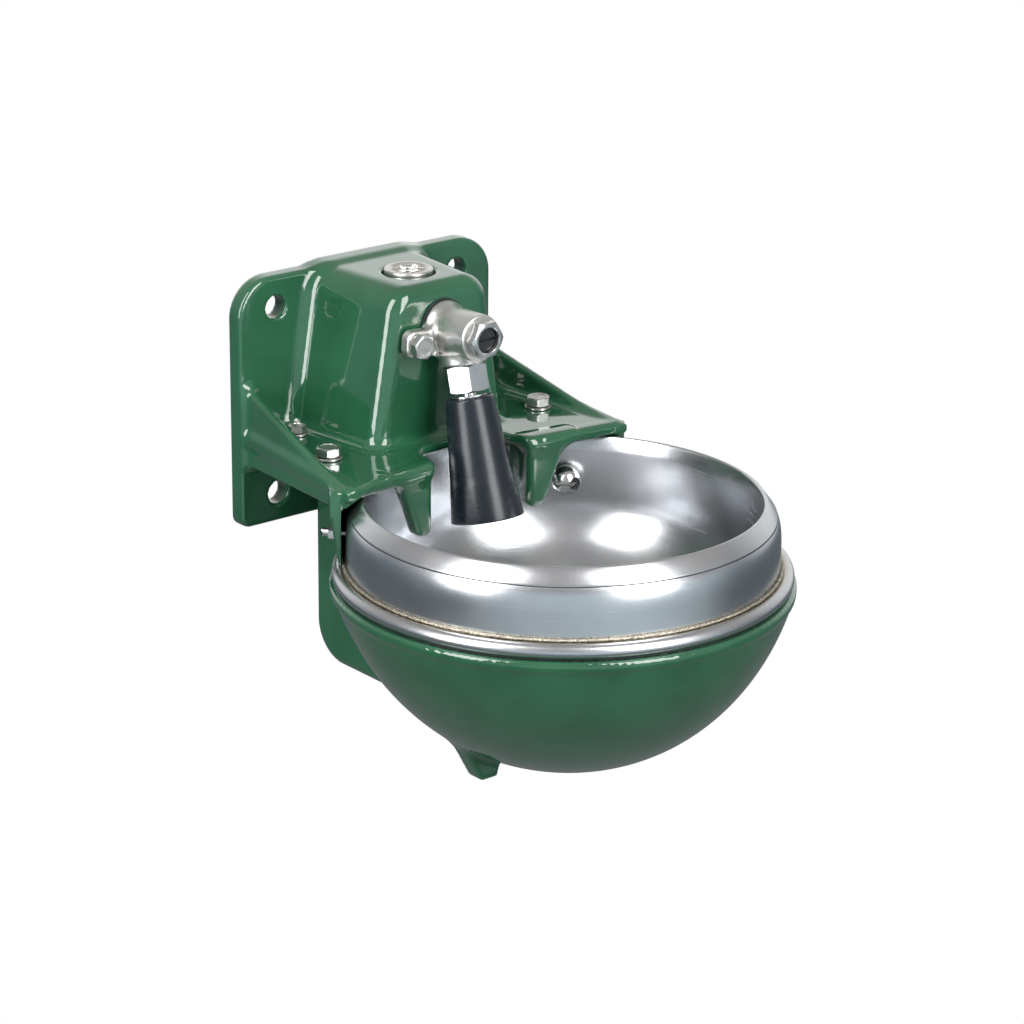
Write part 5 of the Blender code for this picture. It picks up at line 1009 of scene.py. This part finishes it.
# The ledge's bolts: place beside the middle and from the wall; the head's width and height,
# the shank's radius, the nut's height, the washer's radius, and the head's turn in degrees.
LEDGE_BOLTS = (
    ("front", 0.0775, 0.0760, 0.013, 0.0053, 0.004, 0.0065, 0.0082, 12),
    ("rear", 0.066, 0.030, 0.010, 0.0040, 0.003, 0.0050, 0.0063, 40))
NUT_THREAD_END = 0.002
zinc = Finish("zinc_plating", 1.0)
zinc.clouds(140.0, (0.46, 0.455, 0.44), (0.68, 0.68, 0.665), 0.22, 0.44, 420.0)
zinc.bump(zinc.noise(700.0), 0.0002, 0.4)


def ring_profile(inner, outer, low, high):
    """Closed section of a flat ring with its outer edges broken."""
    edge = outer - RING_BREAK
    return [(inner, low), (edge, low), (outer, low + RING_BREAK), (outer, high - RING_BREAK), (edge, high),
            (inner, high)]


def zinc_piece(group, place, kind, surface, sharp=25):
    """Zinc-plated fastener; its CAD node has the place as its last word."""
    name = f"{group}_{place}_{NAMES.get((group, kind), kind)}"
    zinc.give(closed_piece(name, surface, f"{group}_{kind}_{place}", sharp))


def bolt(group, place, centre, along, flats, head, shank, reach, turn):
    """Bolt whose head lies behind the centre and whose shank runs along the direction."""
    aim = Vector(along)
    across = Matrix.Rotation(math.radians(turn), 3, aim) @ Vector(X_AXIS)
    dish = [(0, -head + BREAK), (flats * HEAD_DISH[0], -head + BREAK), (flats * HEAD_DISH[1], -head)]
    tail = [(shank, 0), (shank, reach - SHANK_BREAK), (shank - SHANK_BREAK, reach), (0, reach)]
    zinc_piece(group, place, "bolt", six_sided(centre, aim, across, flats, -head, 0, dish, tail, BOLT_FACE))


def washer(group, place, centre, along, inner, outer):
    """Washer that starts a hair above the centre."""
    profile = ring_profile(inner, outer, GAP, GAP + WASHER)
    zinc_piece(group, place, "washer", turned(profile, centre, along, 48), 35)


NAMES = {("valve", "washer"): "spring_washer"}
for place, (x, z), turn in (("left", EAR_LEFT, 18), ("right", EAR_RIGHT, 5)):
    flats, head, shank, outer = VALVE_BOLT
    head_at = VALVE_SHOULDER + GAP + WASHER + GAP
    centre = (x, -head_at, z)
    bolt("valve", place, centre, BACKWARD, flats, head, shank, head_at - VALVE_BOLT_END, turn)
    washer("valve", place, centre, BACKWARD, shank + GAP, outer)
for side, sign in (("left", -1), ("right", 1)):
    for end, x, reach, flats, head, shank, nut, outer, turn in LEDGE_BOLTS:
        place, centre = f"{end}_{side}", (sign * x, -reach, LEDGE_TOP + LEDGE_SEAT)
        low = LEDGE_TOP + LEDGE_SEAT - FLANGE_LOW + GAP
        high, bore = low + nut, shank + GAP
        bolt("ledge", place, centre, DOWN, flats, head, shank, high + NUT_THREAD_END, turn)
        washer("ledge", place, centre, DOWN, bore, outer)
        wall = [(bore + BREAK, high), (bore, high - BREAK), (bore, low + BREAK), (bore + BREAK, low)]
        nut_surface = six_sided(centre, DOWN, X_AXIS, flats, low, high, wall, [], NUT_FACE)
        zinc_piece("ledge", place, "nut", nut_surface)

# Skirt screws: stainless slotted screws through the steel bowl, its collar and the skirt,
# with a low head on the left, a large ball head on the right, and nuts outside.
SCREW_TURN = math.radians(49.0)
SCREW_STEP = 0.0005
SCREW_TAIL = 0.1388
SCREW_SHANK = 0.0025
SLOT_HALF = 0.0008
# The screws' heights, and then from the bowl's middle outwards: the seat, the radius and
# the middle of the head's ball, and the floor of the slot.
SKIRT_SCREWS = (
    (-1, "left", -0.054, 0.1077, 0.0056, 0.1105, 0.1066),
    (1, "right", -0.0485, 0.1066, 0.0089, 0.1006, 0.0950))


def screw_distance(outwards, start, seat, head_radius, middle, slot_floor):
    """Distance function of a slotted screw with part of a ball as its head."""

    def distance(x, y, z):
        """Distance to the one screw."""
        out = (x - start.x) * outwards.x + (y - start.y) * outwards.y
        sideways = (y - start.y) * outwards.x - (x - start.x) * outwards.y
        rise = z - start.z
        head = common(length(out - middle, sideways, rise) - head_radius, out - seat, GAP)
        head = common(head, -both(np.abs(rise) - SLOT_HALF, out - slot_floor), RING_BREAK)
        shank = common(length(sideways, rise) - SCREW_SHANK, within(out, seat - FINE, SCREW_TAIL), BREAK)
        return either(head, shank)
    return distance


for side, name, height, *head in SKIRT_SCREWS:
    outwards = Vector((side * math.cos(SCREW_TURN), math.sin(SCREW_TURN), 0))
    found = screw_distance(outwards, Vector((0, -BOWL_REACH, height)), *head)
    low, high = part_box(f"skirt_screw_{name}")
    screw_surface = solid_surface(found, low, high, SCREW_STEP)
    screw = new_piece(f"skirt_{name}_screw", screw_surface, f"skirt_screw_{name}", 50)
    turned_steel.give(screw)
    zinc.give(nodes[f"skirt_nut_{name}"], nodes[f"skirt_washer_{name}"])

# Parts out of sight, kept as modelled: the galvanised riser pipe and heating element, brass
# water fittings, the aluminium heat plate, moulded plastics and the foam liner.
zinc.give(nodes["riser_pipe"], nodes["heater_element"])
# Name, metal or not, what clouds is given, the bump's scale, depth and strength, and nodes.
HIDDEN_FINISHES = (
    ("machined_brass", 1.0, (110.0, (0.52, 0.35, 0.12), (0.66, 0.47, 0.20), 0.18, 0.34, 600.0),
     (1200.0, 0.0001, 0.3), ("lower_coupling", "valve_seat", "valve_plunger")),
    ("pressed_aluminium", 1.0, (80.0, (0.66, 0.66, 0.67), (0.78, 0.78, 0.79), 0.28, 0.45, 300.0),
     (500.0, 0.0001, 0.3), ("heater_plate",)),
    ("moulded_plastic", 0.0, (120.0, (0.012, 0.013, 0.016), (0.020, 0.022, 0.026), 0.32, 0.48, 500.0),
     (900.0, 0.0001, 0.3), ("thermostat", "cable_gland", "regulator_plug")),
    ("closed_cell_foam", 0.0, (200.0, (0.54, 0.49, 0.34), (0.68, 0.63, 0.48), 0.82, 0.95, 300.0),
     (800.0, 0.0006, 0.6), ("insulation_liner",)))
for name, metallic, clouds, (scale, depth, strength), kept in HIDDEN_FINISHES:
    hidden = Finish(name, metallic)
    hidden.clouds(*clouds)
    hidden.bump(hidden.noise(scale), depth, strength)
    hidden.give(*(nodes[node] for node in kept))

# Studio: a plain pale floor well below the wall-hung bowl, a dim grey-blue room that the
# camera sees as white, and two tall soft lamps, one to the left and one in front.
CAMERA_BACK = (-0.6003, -0.7272, 0.3328)
CAMERA_RIGHT = (0.771, -0.6366, 0.0)
CAMERA_ROLL = 0.54
CAMERA_LENS = 125.3
CAMERA_SENSOR = 36.0
CAMERA_CLIP = (0.05, 50.0)
CAMERA_AIM = (0, -0.192, -0.070)
CAMERA_OFFSET = (-0.02877, 0.03497, 2.006)
back = Vector(CAMERA_BACK).normalized()
right = Vector(CAMERA_RIGHT).normalized()
turn = Matrix((right, back.cross(right).normalized(), back)).transposed()
turn = turn @ Matrix.Rotation(math.radians(CAMERA_ROLL), 3, "Z")
camera_data = bpy.data.cameras.new("camera")
camera_data.lens = CAMERA_LENS
camera_data.sensor_width = CAMERA_SENSOR
camera_data.clip_start, camera_data.clip_end = CAMERA_CLIP
camera = placed("camera", camera_data)
camera.matrix_world = Matrix.Translation(Vector(CAMERA_AIM) + turn @ Vector(CAMERA_OFFSET)) @ turn.to_4x4()
bpy.context.scene.camera = camera

world = bpy.data.worlds.new("studio")
bpy.context.scene.world = world
world.use_nodes = True
sky = Graph(world.node_tree, "Background", "Generated")
x, y, z = sky.axes()
level = Vector((back.x, back.y)).normalized()
room = sky.ramp(z * 0.5 + 0.5, [(0.35, (0.12, 0.14, 0.15)), (0.50, (0.22, 0.265, 0.30)),
                                (0.60, (0.33, 0.345, 0.36)), (0.80, (0.40, 0.39, 0.38))])
beyond = sky.rise(x * -level.x + y * -level.y, 0.2, 0.9) * sky.rise(z, 0.70, 0.45) * sky.rise(z, -0.20, 0.05)
before = sky.rise(x * -0.35 + y * -0.94, 0.1, 0.95) * sky.rise(z, 0.30, 0.05)
pale = (0.60, 0.70, 0.74, 1.0)
white = (1.0, 1.0, 1.0, 1.0)
paths = sky.node("ShaderNodeLightPath")
through = sky.value(paths.outputs["Is Transmission Ray"])
seen = through.sum("MAXIMUM", through, sky.value(paths.outputs["Is Camera Ray"]))
for factor, colour in ((before, pale), (beyond, white), (seen, white)):
    mixed = sky.node("ShaderNodeMix", {"data_type": "RGBA"}, {0: factor, 6: room, 7: colour})
    room = mixed.outputs[2]
sky.set("Color", room)

FLOOR_HALF = 2.5
FLOOR_Z = -1.6
floor_mesh = bpy.data.meshes.new("floor")
floor_corners = [(x * FLOOR_HALF, y * FLOOR_HALF, FLOOR_Z) for x, y in ((-1, -1), (1, -1), (1, 1), (-1, 1))]
floor_mesh.from_pydata(floor_corners, [], [(0, 1, 2, 3)])
floor = placed("floor", floor_mesh)
paint = Finish("pale_floor")
paint.set("Base Color", (0.22, 0.25, 0.25, 1.0))
paint.set("Roughness", 0.8)
paint.give(floor)
path = paint.node("ShaderNodeLightPath").outputs["Is Camera Ray"]
glow = paint.node("ShaderNodeEmission", {}, {"Color": white, "Strength": 1.0})
blend = paint.node("ShaderNodeMixShader", {}, {0: path, 1: paint.shader.outputs[0], 2: glow.outputs[0]})
paint.feed(paint.tree.nodes["Material Output"].inputs["Surface"], blend.outputs[0])

LAMP_SIZE = (0.60, 1.50)
LAMP_POWER = 20.0
LAMP_AIM = Vector((0, -0.15, -0.03))
for name, offset in (("left", (-1.156, -0.081, 0.590)), ("right", (0.040, -1.158, 0.590))):
    lamp = bpy.data.lights.new(name, "AREA")
    lamp.shape = "RECTANGLE"
    lamp.size, lamp.size_y = LAMP_SIZE
    lamp.energy = LAMP_POWER
    holder = placed(name, lamp)
    holder.location = LAMP_AIM + Vector(offset)
    holder.rotation_euler = (-Vector(offset)).to_track_quat("-Z", "Y").to_euler()

bpy.context.scene.view_settings.view_transform = "Standard"
